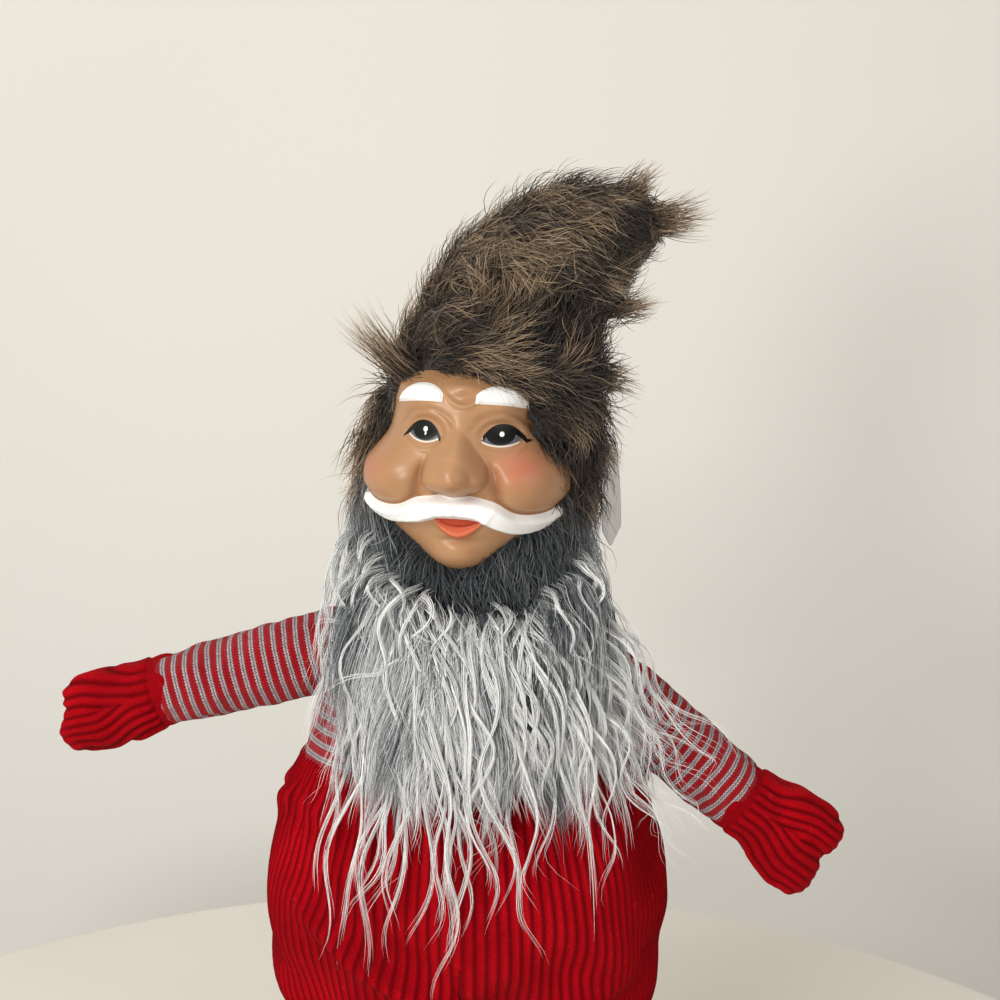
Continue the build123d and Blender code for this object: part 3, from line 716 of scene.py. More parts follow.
def locks(number, per_lock, root_span, height, length, clear, steps, seed, wave, pitch, thick, radius=0.17,
          side=0.0, curl=None, proud=0.9, rise=0.35, drift=0.0):
    """Locks: strands that share one leader's path and open a little towards the end."""
    rng = np.random.default_rng(seed)
    angle = np.radians(rng.uniform(*root_span, number))
    z = rng.uniform(*height, number)
    z += dip(angle) * smooth(z, 262, 299)
    lead = rooted(angle, z)
    way = stacked(np.sin(angle) * proud + side, -np.cos(angle) * proud, rise)
    long = rng.uniform(*length, number)
    lead = hang(lead, way, long, steps, clear + 4 * rng.random(number), rng, wave=wave, pitch=pitch,
                settle=0.42, seed=seed, drift=drift)
    t = np.linspace(0, 1, steps)
    if curl is not None:
        ends = smooth(t, 0.6, 1.0)[None, :, None]
        turn_by = (rng.uniform(-1, 1, (number, 1)) * curl) * smooth(t, 0.55, 1)[None]
        wide = rng.uniform(3, 9, (number, 1))
        loop = stacked(wide * (1 - np.cos(turn_by)) * np.sign(turn_by), 0.0,
                       wide * np.abs(np.sin(turn_by)) * 1.2)
        lead = lead + loop * ends
    who = np.repeat(np.arange(number), per_lock)
    total = len(who)
    open_out = 1.15 - 0.75 * np.sin(np.pi * t)
    offset = rng.normal(size=(total, 1, 3)) * thick * open_out[None, :, None]
    twist = rng.uniform(0, 6.3, total)[:, None] + 9 * t[None]
    braid = stacked(np.cos(twist), np.sin(twist), 0.0) * thick * 0.35
    cut = rng.uniform(0.72, 1.0, total)
    where = np.clip(cut[:, None] * t[None], 0, 1) * (steps - 1)
    low = np.clip(where.astype(int), 0, steps - 2)
    part = (where - low)[..., None]
    take = np.take_along_axis
    follow = take(lead[who], low[..., None], 1) * (1 - part) + take(lead[who], low[..., None] + 1, 1) * part
    paths = follow + offset + braid
    shade = np.clip(0.5 + 0.25 * rng.normal(size=number)[who] + 0.12 * rng.normal(size=total), 0, 1)
    return paths, shade, rng.uniform(0.8, 1.2, total) * radius


batches = [
    locks(124, 13, (-50, 66), (276, 299), (46, 80), 6.5, 17, 81, 4.2, 52, 0.8, radius=0.21),
    locks(124, 13, (-50, 66), (266, 298), (50, 86), 8.5, 17, 80, 5.0, 58, 0.75, radius=0.2),
    locks(130, 12, (-46, 52), (250, 292), (28, 56), 9.0, 14, 82, 4.6, 46, 0.8, radius=0.19),
    locks(24, 13, (-50, 6), (262, 298), (100, 150), 6.0, 24, 83, 5.0, 62, 0.75, radius=0.19, curl=1.8),
    locks(10, 8, (4, 46), (250, 292), (84, 118), 6.0, 22, 84, 6.0, 56, 0.6, curl=2.8),
    locks(34, 9, (54, 86), (276, 308), (50, 88), 6.0, 18, 85, 3.6, 50, 1.0, proud=0.5, rise=-0.2, side=0.2),
    locks(44, 10, (-82, -48), (284, 314), (44, 80), 6.0, 18, 86, 3.4, 50, 1.0, proud=0.5, rise=-0.3,
          side=-0.3, drift=-0.12),
    locks(34, 6, (42, 70), (250, 300), (50, 100), 4.0, 22, 87, 6.4, 44, 0.9, side=1.0, curl=4.0, drift=0.75),
    locks(110, 2, (-52, 74), (250, 304), (34, 90), 9.0, 18, 88, 7.0, 40, 1.6, radius=0.12, curl=3.0),
    locks(46, 11, (-60, 68), (290, 303), (30, 58), 9.0, 20, 89, 5.0, 30, 0.75, curl=5.5, rise=0.8,
          radius=0.2),
]
beard_pieces = beard_undercoat()
for i, (lock_paths, lock_shade, thick) in enumerate(batches):
    name = f"beard_locks_{'abcdefghij'[i]}"
    beard_pieces += strand_mesh(name, lock_paths, thick, lock_shade, lock_hair, 90 + i, taper=0.5)


def side_hair():
    """Long grey hair down both sides of the face, rooted in the hood."""
    rng = np.random.default_rng(95)
    count = 1500
    angle = np.radians(rng.normal(78, 17, count)) * rng.choice([-1, 1], count)
    roots = rooted(angle, 300 + 44 * rng.random(count))
    out = stacked(np.sin(angle) * 0.12, -np.cos(angle) * 0.4 - 0.2, -0.8) + rng.normal(size=(count, 3)) * 0.22
    length = rng.uniform(12, 42, count)
    clear = 1.0 + 2.0 * rng.random(count)
    paths = hang(roots, unit(out), length, 9, clear, rng, wave=1.6, pitch=34, settle=0.5, seed=4)
    shade = 0.6 + 0.3 * ripple(roots * (1, 1, 0.3), 16, 96) + rng.normal(size=count) * 0.25
    paths, shade = clumped(paths, shade, 260, 0.5 * rng.random(count), rng, spread=0.5)
    seen = from_face(paths).min(1) > -2
    thick = rng.uniform(0.12, 0.2, seen.sum())
    return strand_mesh("hood_side_hair", paths[seen], thick, shade[seen], hood_hair, 97)


def beard_panel():
    """A thin woven backing that the undercoat is tufted into, just clear of the shirt."""
    rows, columns = 40, 60
    z = np.repeat(np.linspace(289, 252, rows), columns)
    angle = np.tile(np.radians(np.linspace(-64, 64, columns)), rows)
    panel = rooted(angle, z)
    faces = grid_faces(rows, columns, False)
    return make_mesh("beard_backing", np.concatenate([panel, panel + (0, 0.9, 0)]),
                     [faces, faces[:, ::-1] + rows * columns], beard_backing)


hood_pieces = [hood_skin, *hood_fur, *side_hair()]
beard_back = beard_panel()


# ---- face -----------------------------------------------------------------------------------
FACE_ROLL = math.radians(2.8)
FACE_TURN = math.radians(5.5)
across = np.array([math.cos(FACE_TURN), -math.sin(FACE_TURN), 0])
ahead = np.array([-math.sin(FACE_TURN), -math.cos(FACE_TURN), 0])
upward = np.array([0, 0, 1.0])
across, upward = (across * math.cos(FACE_ROLL) - upward * math.sin(FACE_ROLL),
                  upward * math.cos(FACE_ROLL) + across * math.sin(FACE_ROLL))
eye_level = np.array([5.2, -50.0, 364.0])
WIDE, TALL, DEEP = 42.0, 47.0, 38.0
rows, columns = 262, 268
phi = np.radians(np.linspace(-88, 84, rows))[:, None]
theta = np.radians(np.linspace(-88, 88, columns))[None]
# the outline: half widths for each height, from the chin to the hairline
outline = table([(-59, 1.5), (-57.5, 6), (-54.8, 11.5), (-51.5, 16.5), (-48, 21), (-42, 27.8), (-36.5, 33),
                 (-30, 38.6), (-25, 40.8), (-20, 41.0), (-15, 39.4), (-10, 35.6), (-5, 32.6), (3, 31),
                 (12, 29.8), (22, 25.5), (30, 17), (35, 2)], TALL * np.sin(phi[:, 0]) - 12)[:, 1:2]
b = TALL * np.sin(phi) - 12.0 + 0 * theta
low = np.clip(-(b + 12) / TALL, 0, 0.9995)
round_off = np.where(b < -12, (1 - low**2.7) ** (1 / 2.7), np.cos(phi) + 0 * theta)
a = outline * np.sin(theta) - 0.8
f = DEEP * np.cos(theta) * round_off - DEEP + 2 - 13 * smooth(b, 14.5, 26)
out = unit(stacked(np.sin(theta) * np.cos(phi) / WIDE, np.sin(phi) / TALL,
                   np.cos(theta) * np.cos(phi) / DEEP))


def lump(x, y, wide, tall, height):
    return height * np.exp(-(((a - x) / wide) ** 2) - ((b - y) / tall) ** 2)


def both(x, y, wide, tall, height):
    return lump(x, y, wide, tall, height) + lump(-x, y, wide, tall, height)


def swell(x, y, wide, tall, height, power=1.6):
    """A plump bump: flatter on top than lump, and smooth at its foot."""
    return height * np.exp(-((((a - x) / wide) ** 2 + ((b - y) / tall) ** 2) ** power))


def eye_reach(x, y):
    """How far out each point is from an eye's middle, where 1 is the edge of the socket."""
    return np.sqrt(((a - x) / 8.8) ** 2 + ((b - y + 0.8) / 6.6) ** 2)


side = np.abs(a + 1.0)  # distance from the middle of the face
# the moustache: its upper and lower outlines as heights for each distance from the middle
wing = table([(0, -24.6, -33.0), (8, -24.4, -33.8), (15, -26.2, -37.4), (22, -30.4, -39.8),
              (29, -31.4, -39.6), (35, -30.6, -37.2), (39.5, -28.0, -32.4)], side)
raised = np.where(a < -1, smooth(side, 8, 22), 0)
wing = wing + stacked(0.0, 1.4 * raised, 2.4 * raised)
moustache = np.minimum(np.minimum(wing[..., 1] - b, b - wing[..., 2]), 39.4 - side)
brow_x = (np.abs(a + 1.8) - 16.4) / 10.2
brow_low = 10.3 - 0.9 * brow_x - 0.5 * brow_x**2
brow_high = 10.0 - 0.9 * brow_x + 7.2 * np.clip(1 - np.abs(brow_x + 0.1) ** 2, 0, 1) ** 0.55
brow = np.minimum(np.minimum(brow_high - b, b - brow_low), (1 - np.abs(brow_x)) * 10)
white = np.maximum(moustache, brow)
relief = both(15, 8.5, 9, 4.5, 2.6) + lump(0, 14, 10, 7, 2.2)
relief += both(16.2, 13.6, 9.5, 4.4, 1.5)
relief += smooth(brow, -0.3, 1.3) * 1.5
relief -= both(14.5, 1.0, 8.2, 5.6, 4.4)
relief -= both(24.5, 5.0, 5.0, 6.0, 1.2)
# eyeballs and lids: (middle, the sign of x towards the temple)
EYES = [(-14.4, 0.1, -1), (14.5, -0.4, 1)]
for x, y, _ in EYES:
    relief += swell(x, y - 0.4, 7.4, 5.0, 3.7, 1.5)
    reach = eye_reach(x, y)
    relief += 0.95 * bell(reach, 1.06, 0.18) * smooth(b - y, -3, 1.5)
    relief -= 0.32 * bell(reach, 1.36, 0.12) * smooth(b - y, 0, 4)
    relief += 0.55 * bell(reach, 1.05, 0.12) * smooth(y - b, 1, 4)
# glabella: a small knob with a V-shaped fold below it, and two faint brow lines
relief += lump(-0.5, 16.6, 4.2, 1.8, 1.5) - lump(-0.5, 14.2, 4.6, 1.1, 1.0)
fold = b - (9.4 + 0.075 * a**2)
relief += 1.1 * bell(fold, 0, 1.0) * bell(a, 0, 6.5) - 0.8 * bell(fold, 2.0, 1.0) * bell(a, 0, 6.0)
relief += 0.6 * bell(b, 19.6, 1.0) * bell(a, -1, 7)
# nose: a soft bridge that widens into a round bulb, with small wings and nostrils
relief += 3.0 * bell(a, -0.8, 6.0) * smooth(-b, -12, 4) * smooth(b, -26, -17)
wide = 12.8 - 4.0 * smooth(b, -14, 0)
tall = np.where(b > -16.5, 18.0, 8.2)
bulb = np.clip(1 - ((a + 2.2) / wide) ** 2 - ((b + 16.5) / tall) ** 2, 0, 1)
relief += 8.8 * bulb ** (0.62 + 0.9 * smooth(b, -16, -4))
relief += 2.6 * np.clip(1 - ((a + 3.6) / 8.2) ** 2 - ((b + 17.0) / 7.0) ** 2, 0, 1) ** 1.2
relief += lump(8.0, -19.2, 3.6, 3.2, 1.9) + lump(-11.0, -19.2, 3.6, 3.2, 1.9)
relief -= lump(4.4, -23.4, 2.4, 1.5, 2.2) + lump(-7.4, -23.4, 2.4, 1.5, 2.2)
# cheeks round and full, with a furrow between nose, cheek and moustache
relief += swell(26.5, -17.5, 12.4, 12.0, 6.8, 1.25) + swell(-28.5, -17.5, 12.8, 12.4, 6.6, 1.2)
furrow = side - (14.2 - 0.26 * (b + 17))
relief -= 1.7 * bell(furrow, 0, 2.2) * smooth(b, -29, -22) * smooth(-b, 8, 16)
relief -= 1.4 * bell(b, wing[..., 1] + 0.9, 1.3) * smooth(side, 12, 20)
relief += smooth(moustache, -0.3, 2.6) * (4.6 + 1.4 * bell(side, 12, 12))
# lips and chin
lip_top = -32.6 - 0.01 * a**2
lip_low = -41.2 + 0.078 * a**2
mouth = -37.0 + 0.04 * a**2
lips = np.minimum(np.minimum(lip_top - b, b - lip_low), 10.4 - side)
relief += 2.6 * bell(b, -39.2 + 0.062 * a**2, 1.7) * bell(a, 0, 8.5) + lump(0, -34.5, 8, 2.4, 0.8)
relief -= 1.5 * bell(b, mouth, 0.8) * smooth(side, 10.5, 8)
relief -= lump(0, -42.2, 7.0, 1.4, 1.3)
relief += swell(-0.5, -49.5, 11.0, 5.6, 3.6, 1.2)
relief += 0.09 * np.sin(1.9 * (b + 0.9 * side) + 0.35 * side) * smooth(moustache, 0.4, 1.6)
relief += 0.05 * np.sin(3.1 * (a + 0.6 * b)) * smooth(brow, 0.3, 1.4)
push = unit(out * 0.55 + np.array([0, 0, 0.7]))
local = np.stack([a, b, f], -1) + push * relief[..., None]
front_grid = eye_level + local[..., :1] * across + local[..., 1:2] * upward + local[..., 2:] * ahead


def ellipse_reach(x, y, wide, tall):
    """Roughly how far inside (positive) an ellipse each point is, in mm."""
    u, v = a - x, b - y
    q = np.sqrt((u / wide) ** 2 + (v / tall) ** 2)
    return (1 - q) * min(wide, tall)


values = {"white": white, "lips": lips, "lip_line": b - mouth}
lid, rim, black, glint = (np.full(a.shape, -9.0) for _ in range(4))
# the painted eyes: (top, bottom, the upper lid's curve outwards and inwards, the lower lid's curve,
# the painted line's end, and its drop), then each glint as (x, y, width, height)
PAINTED = [((2.9, -4.2, 0.078, 0.15, 0.055, 9.0, -3.6), [(-0.2, 0.3, 0.9, 1.0), (0.1, -1.3, 0.35, 0.7)]),
           ((3.4, -4.0, 0.066, 0.12, 0.034, 12.0, -2.2), [(0.5, 0.3, 0.9, 1.0)])]
for (x, y, way), (shape, glints) in zip(EYES, PAINTED):
    top, bottom, curve_out, curve_in, curve_low, wing_end, drop = shape
    outer = (a - x) * way  # towards the temple
    v = b - y
    curve = np.where(outer > 0, curve_out, curve_in)
    upper = np.maximum(top - curve * outer**2, drop - 0.02 * outer)
    lower = bottom + curve_low * outer**2
    opening = np.minimum(upper - v, v - lower)
    lid = np.maximum(lid, np.minimum(np.minimum(opening + 0.65, -0.9 - v), 6.8 - np.abs(outer)))
    rim = np.maximum(rim, np.minimum(opening, 7.2 - outer))
    iris = np.minimum(ellipse_reach(x, y + 0.1, 5.3, 3.9), opening + 0.3)
    slant = np.sqrt(1 + (2 * curve * outer * (upper > drop)) ** 2)
    thick = 0.62 + 0.5 * bell(outer, 4.5, 4.0) - 0.45 * smooth(outer, wing_end - 3.0, wing_end)
    line = np.minimum(thick - np.abs(v - upper) / slant, np.minimum(wing_end - outer, outer + 6.5))
    black = np.maximum(black, np.maximum(iris, line))
    for glint_x, glint_y, glint_wide, glint_tall in glints:
        glint = np.maximum(glint, ellipse_reach(x + glint_x, y + glint_y, glint_wide, glint_tall))
values.update(lid=lid, rim=rim, black=black, glint=glint)
blush = bell(a, 22, 8) * bell(b, -12.5, 6.5) + 0.6 * bell(a, -35, 6) * bell(b, -15, 8)
values["blush"] = np.clip(blush + 0.10 * bell(a, 0, 8) * bell(b, -17, 7), 0, 1)
# painted shade in the hollows: beside the nose, along the moustache's top, in the glabella's fold, the
# nostrils, under the lower lip and round the eyes
hollow = 0.9 * bell(furrow, 0, 2.0) * smooth(b, -30, -24) * smooth(-b, 8, 16)
hollow += 0.9 * bell(b, wing[..., 1] + 0.5, 1.0) * smooth(side, 10, 20)
hollow += 0.55 * bell(fold, 1.8, 0.9) * bell(a, 0, 6.0) + 0.5 * bell(b, 14.2, 0.9) * bell(a, -0.5, 4.6)
hollow += lump(4.6, -22.4, 2.2, 1.2, 0.8) + lump(-7.2, -22.4, 2.2, 1.2, 0.8)
hollow += 0.5 * bell(b, -42.2, 1.2) * bell(a, 0, 7)
for x, y, _ in EYES:
    reach = eye_reach(x, y)
    hollow += 0.5 * bell(reach, 1.28, 0.1) * smooth(b - y, 0, 3) + 0.3 * bell(reach, 0.86, 0.07)
values["hollow"] = np.clip(hollow, 0, 1)

# the mask's edge turns back to a thin wall, closed by an inner face without features
count = rows * columns
edge = border(rows, columns)
flat = front_grid.reshape(-1, 3)
middle = eye_level + upward * -13 + ahead * (-DEEP + 2)
rim_points = flat[edge]
inner_rings = []
for share in (1.0, 0.96, 0.8, 0.55, 0.3, 0.1):
    ring_points = middle + (rim_points - middle) * share * 0.94
    ring_points = ring_points + ahead * (DEEP - 6) * math.sqrt(max(0, 1 - share**2)) * 0.9
    inner_rings.append(ring_points)
n = len(edge)
wall = np.concatenate([flat, *inner_rings])
loops = [edge] + [count + k * n + np.arange(n) for k in range(len(inner_rings))]
back = np.concatenate([np.stack([p, q, np.roll(q, -1), np.roll(p, -1)], -1)
                       for p, q in zip(loops, loops[1:])])
cap = loops[-1][None, ::-1]
pad = len(inner_rings) * n
uv = stacked(0.02 + 0.92 * np.linspace(0, 1, columns),
             0.02 + 0.96 * np.linspace(0, 1, rows)[:, None]).reshape(-1, 2)
uv = np.concatenate([uv, np.tile([0.97, 0.5], (pad, 1)) + np.linspace(0, 0.02, pad)[:, None] * (0, 1)])
values = {k: np.concatenate([v.ravel(), np.full(pad, -9.0 if k not in ("blush", "hollow") else 0.0)])
          for k, v in values.items()}
face = make_mesh("face", wall, [grid_faces(rows, columns, False), back, cap], face_paint(), uv=uv,
                 values=values)


# ---- trousers -------------------------------------------------------------------------------
def trouser_leg(side):
    """Half of the seat and one leg, with raised wales that run down it."""
    way = WAY[side]
    rows, per_wale, wales, inner = 180, 7, 58, 48
    columns = per_wale * wales + inner
    z = np.linspace(LEG_TOP, LEG_HEM, rows)[:, None]
    # up to 1 on the outside, from front centre to back centre, and above 1 on the seam between the legs
    u = np.arange(columns)[None] / (per_wale * wales)
    # (height, half width, half depth) of the whole seat, and of one leg
    seat = table([(LEG_HEM, 84, 60), (110, 80, 60), (135, 82.5, 62), (163, 85, 65), (190, 80.5, 61),
                  (206, 75.5, 56.5), (214, 72.5, 53.5), (219, 70.4, 51.6), (221.5, 69.4, 50.8),
                  (LEG_TOP, 67.4, 49.4)], z[:, 0])
    leg = table([(LEG_HEM, 22.8, 28.6), (48, 24.4, 30.4), (58, 29.4, 35.6), (72, 34.5, 41), (90, 37, 44),
                 (112, 38, 46), (150, 38, 46), (LEG_TOP, 38, 46)], z[:, 0])
    outer = u <= 1
    angle = np.where(outer, -math.pi / 2 + math.pi * u, math.pi / 2)
    t = np.clip((u - 1) * per_wale * wales / inner, 0, 1)
    seat_x = np.where(outer, seat[:, 1:2] * np.cos(angle), 0.6)
    seat_y = np.where(outer, seat[:, 2:3] * np.sin(angle), seat[:, 2:3] * (1 - 2 * t))
    start, stop = math.radians(-143), math.radians(143)
    round_angle = np.where(outer, start + (stop - start) * u, stop + (2 * math.pi - (stop - start)) * t)
    leg_x = LEG_X + leg[:, 1:2] * np.cos(round_angle)
    leg_y = leg[:, 2:3] * np.sin(round_angle)
    split = smooth(z + 5 * np.cos(angle * 2), 138, 100)
    x = AXIS_X + way * (seat_x * (1 - split) + leg_x * split)
    y = AXIS_Y + seat_y * (1 - split) + leg_y * split
    grid = stacked(x, y, z)
    normal = grid_normals(grid, True) * way
    # the belly's fullness, gathers at waist and ankle, slack folds over the leg
    gather = ripple(grid * (1, 1, 0.35), 9, 101 + way)
    gather = (2.0 * gather * smooth(z, 190, 208) * (1 - 0.9 * smooth(z, 208, 221))
              + (1.1 * gather + 1.0) * smooth(z, 68, 48))
    slanted = grid * (0.6, 0.6, 1) + (0.5 * way * grid[..., :1]) * (0, 0, 1)
    folds = ripple(slanted, 30, 104 + way) * 2.4 * smooth(z, 190, 130)
    slack = ripple(grid, 55, 107 + way) * 2.4
    hip = way * (grid[..., 0] - AXIS_X)
    # one deep crease across each thigh: its height at the crotch, slope and depth
    level, slope, depth = {"right": (128, 0.62, 7.5), "left": (116, 0.32, 4.5)}[side]
    crease = z - level - slope * hip
    frontal = smooth(-(grid[..., 1] - AXIS_Y), 0, 34)
    folds = folds * smooth(hip, 2, 22)
    slack = slack * smooth(hip, 0, 18)
    folds = folds - depth * bell(crease, 0, 5.0) * frontal * smooth(hip, 76, 40)
    folds = folds + depth * 0.45 * bell(crease, 13, 9.0) * frontal * smooth(hip, 78, 40)
    count = u * wales
    wale = np.where(outer, 0.5 - 0.5 * np.cos(2 * np.pi * count), 0.4) ** 0.8 + 0 * z
    puff = 0.4 * smooth(z, 217, 220) - 0.3
    loose = (gather + folds + slack) * (1 - 0.92 * smooth(z, 205, 218))
    grid = grid + normal * (loose + puff + 0.95 * wale - 1.4)[..., None]
    outer_uv = stacked(u * 0.9, (z - LEG_HEM) / (LEG_TOP - LEG_HEM)).reshape(-1, 2) * 0.96 + 0.02
    # the hem turns in round the ankle
    ankle = np.array([AXIS_X + way * LEG_X, AXIS_Y])
    flat = grid.reshape(-1, 3)
    ring = (rows - 1) * columns + np.arange(columns)
    turned_in = ring + columns
    lower = flat[ring]
    lower[:, :2] = (lower[:, :2] - ankle) * 0.86 + ankle
    lower[:, 2] += 1.5
    flat = np.concatenate([flat, lower])
    hem = np.stack([ring, np.roll(ring, -1), np.roll(turned_in, -1), turned_in], -1)
    uv = np.concatenate([outer_uv, outer_uv[ring] * (1, 0) + (0, 0.005)])
    # these wale values also set the corduroy's painted shade in the grooves, and make the turned-in hem dark
    strength = np.concatenate([wale.ravel(), np.zeros(columns)])
    faces = [grid_faces(rows, columns, True), hem]
    if way < 0:
        faces = [f[:, ::-1] for f in faces]
    return make_mesh(f"trousers_{side}", flat, faces, corduroy, uv=uv, values={"wale": strength})


legs = {side: trouser_leg(side) for side in WAY}

# ---- shirt ----------------------------------------------------------------------------------
# (height, shift to the doll's left, half width, half depth, tilt in degrees)
SHIRT = [(204, 0, 70, 50.5, 0), (216, 0, 70, 50.5, 0), (236, 1, 66.5, 49, 3), (256, 2, 58, 44, 7),
         (271, 1, 45, 37, 4), (279, 0.5, 37, 33, 1), (284, 0, 32, 30, 0)]


def make_shirt():
    rows, columns = 90, 200
    ring = table(SHIRT, np.linspace(SHIRT[0][0], SHIRT[-1][0], rows))
    z, shift, wide, deep, roll = (ring[:, k:k + 1] for k in range(5))
    roll = np.radians(roll)
    turn = circle(columns)
    grid = stacked(AXIS_X + shift + wide * np.cos(turn) * np.cos(roll), AXIS_Y + deep * np.sin(turn),
                   z - wide * np.cos(turn) * np.sin(roll))
    gather = 0.5 * ripple(grid * (1, 1, 0.3), 16, 122) * smooth(z, 240, 216)
    grid = grid + grid_normals(grid, True) * (0.8 * ripple(grid, 40, 121) + gather - 0.4)[..., None]
    along = np.concatenate([[0], np.cumsum(np.linalg.norm(np.diff(grid[:, columns // 4], axis=0), axis=1))])
    uv = stacked(turn * 60 / 100, along[:, None] / 100).reshape(-1, 2)
    return make_mesh("shirt", grid.reshape(-1, 3), [grid_faces(rows, columns, True)], jersey, uv=uv)


shirt = make_shirt()


# ---- sleeves and mittens ----------------------------------------------------------------------
def sleeve(side):
    """A padded sleeve: a dome inside the shirt, a gathered shoulder and a cuff that turns in."""
    origin, along, up = limb(SHOULDER[side], ARM_SLOPE[side], side)
    way = WAY[side]
    rows, columns = 170, 108
    dome_start, cuff_end = -13, ARM_LENGTH + 0.5
    s = np.linspace(dome_start - 12, cuff_end, rows)[:, None]
    turn = circle(columns)
    radius = table([(dome_start, SLEEVE_RADIUS), (-4, 16.6), (10, 17.0), (35, 16.4), (60, 15.7),
                    (69, SLEEVE_RADIUS), (cuff_end, 15.0)], s[:, 0])[:, 1:2]
    dome = SLEEVE_RADIUS * np.sqrt(np.clip(1 - ((dome_start - s) / 12.02) ** 2, 0, 1))
    radius = np.where(s < dome_start, dome, radius)
    spine = origin + s[..., None] * along
    spoke = np.cos(turn)[:, None] * up + np.sin(turn)[:, None] * np.array([0, 1.0, 0])
    grid = spine + radius[..., None] * spoke
    normal = grid_normals(grid, True)
    normal = normal * np.sign((normal * (grid - spine)).sum(-1, keepdims=True))
    coords = stacked(s * 0.9, radius * np.cos(turn) * 1.4, radius * np.sin(turn) * 1.4)
    slack = 0.75 * ripple(coords, 30, 131 + way) + 0.45 * ripple(coords, 13, 134 + way)
    gather = 0.8 * ripple(coords, 9, 137 + way) * smooth(s, 16, -4)
    grid = grid + normal * ((slack + gather) * smooth(s, -23, -14))[..., None]
    # the cuff's last two millimetres turn in, under the mitten's seam
    grid = grid - normal * (1.6 * smooth(s, cuff_end - 2.5, cuff_end))[..., None]
    uv = stacked(turn * 16.2 / 100, (s + 20) / 100).reshape(-1, 2)
    faces = grid_faces(rows, columns, True)
    return make_mesh(f"sleeve_{side}_cloth", grid.reshape(-1, 3), [faces], jersey, uv=uv)


def blob(name, parts, voxel, smoothing):
    """One skin round a set of balls and cones: (from, to, radius at each end, squash along y)."""
    joined = []
    for start, stop, r0, r1, flat in parts:
        start, stop = np.array(start, float), np.array(stop, float)
        steps, turns = 24, 40
        along = unit(stop - start)
        aside = unit(np.cross(along, (0, 1.0, 0)))
        depth = np.cross(aside, along)
        span = np.linalg.norm(stop - start)
        cap = np.linspace(-math.pi / 2, 0, 9)[:-1]
        profile = ([(r0 * math.sin(q), r0 * math.cos(q)) for q in cap]
                   + [(span * k, r0 + (r1 - r0) * k) for k in np.linspace(0, 1, steps)]
                   + [(span + r1 * math.sin(-q), r1 * math.cos(q)) for q in cap[::-1]])
        angle = circle(turns)
        spoke = np.cos(angle)[:, None] * aside + np.sin(angle)[:, None] * depth * flat
        rings = [start + along * s + max(r, 0.02) * spoke for s, r in profile]
        points = np.concatenate(rings)
        faces = grid_faces(len(rings), turns, True)
        ends = [np.arange(turns)[None, ::-1], (len(rings) - 1) * turns + np.arange(turns)[None]]
        joined.append(make_mesh(f"{name}_{len(joined)}", points, [faces, *ends], corduroy))
    with bpy.context.temp_override(active_object=joined[0], selected_editable_objects=joined):
        bpy.ops.object.join()
    obj = joined[0]
    obj.name = name
    remesh = obj.modifiers.new("skin", "REMESH")
    remesh.mode, remesh.voxel_size, remesh.use_smooth_shade = "VOXEL", voxel * MM, True
    relax = obj.modifiers.new("relax", "SMOOTH")
    relax.factor, relax.iterations = 0.5, smoothing
    fine = obj.modifiers.new("fine", "SUBSURF")
    fine.levels = fine.render_levels = 1
    graph = bpy.context.evaluated_depsgraph_get()
    mesh = bpy.data.meshes.new_from_object(obj.evaluated_get(graph))
    obj.modifiers.clear()
    obj.data = mesh
    obj.data.name = name
    return obj


def mitten(side):
    """A mitten of cuff, palm, fingers and thumb, with wales that follow the hand."""
    wrist = wrist_of(side)
    origin, along, up = limb((wrist[0], wrist[2]), HAND_SLOPE[side], side)

    def at(s, h):
        return origin + along * s + up * h

    if side == "left":
        shape = [(at(8, 0), at(28, -1), 15.6, 15, 0.9), (at(14, -3), at(37, -11), 14.6, 13.2, 0.94),
                 (at(14, 3), at(36, 9.5), 14, 12.2, 0.94)]
    else:
        shape = [(at(8, 0), at(27, 0), 15.8, 14.4, 0.9), (at(12, -3), at(37, -4.5), 14.4, 12, 0.96),
                 (at(12, 3), at(33, 6), 13.6, 11.2, 0.9)]
    obj = blob(f"mitten_{side}_cloth", [
        (at(-1.5, 0), at(9, 0), 15.9, 16.4, 0.98),
        *shape,
    ], 1.15, 12)
    points = np.array([v.co for v in obj.data.vertices]) / MM
    normal = np.array([v.normal for v in obj.data.vertices])
    local = points - origin
    s, h = local @ along, local @ up
    # the wales fan out from the wrist and part between thumb and fingers
    wale_pitch = 4.3
    lobe = smooth(s, 8, 34)
    bend = np.where(h > 2.5, h - lobe * 6.5, h + lobe * 6.0)
    where = bend + 0.8 * ripple(local, 26, 143)
    wale = (0.5 - 0.5 * np.cos(2 * np.pi * where / wale_pitch)) ** 0.8
    end = smooth(s, 47, 40)
    wale = wale * (0.35 + 0.65 * end) + 0.3 * (1 - end)
    cuff = smooth(s, 1.5, 4.0)
    push = 1.15 * wale * cuff - 0.7 + 0.9 * ripple(local, 24, 144) + 0.35 * ripple(local, 11, 145)
    groove = h - (2.4 + 0.06 * s)
    push -= 2.0 * bell(groove, 0, 1.7) * smooth(s, 13, 30) * smooth(-s, -47, -36)
    push -= 0.4 * bell(s, 2.6, 0.9)
    points = points + normal * push[:, None]
    obj.data.vertices.foreach_set("co", (points * MM).astype(np.float32).ravel())
    # the wale attribute sets the painted shade in the corduroy's grooves
    obj.data.attributes.new("wale", "FLOAT", "POINT").data.foreach_set(
        "value", (wale * cuff + 0.5 * (1 - cuff)).astype(np.float32))
    obj.data.update()
    return obj


sleeves = {side: sleeve(side) for side in WAY}
mittens = {side: mitten(side) for side in WAY}


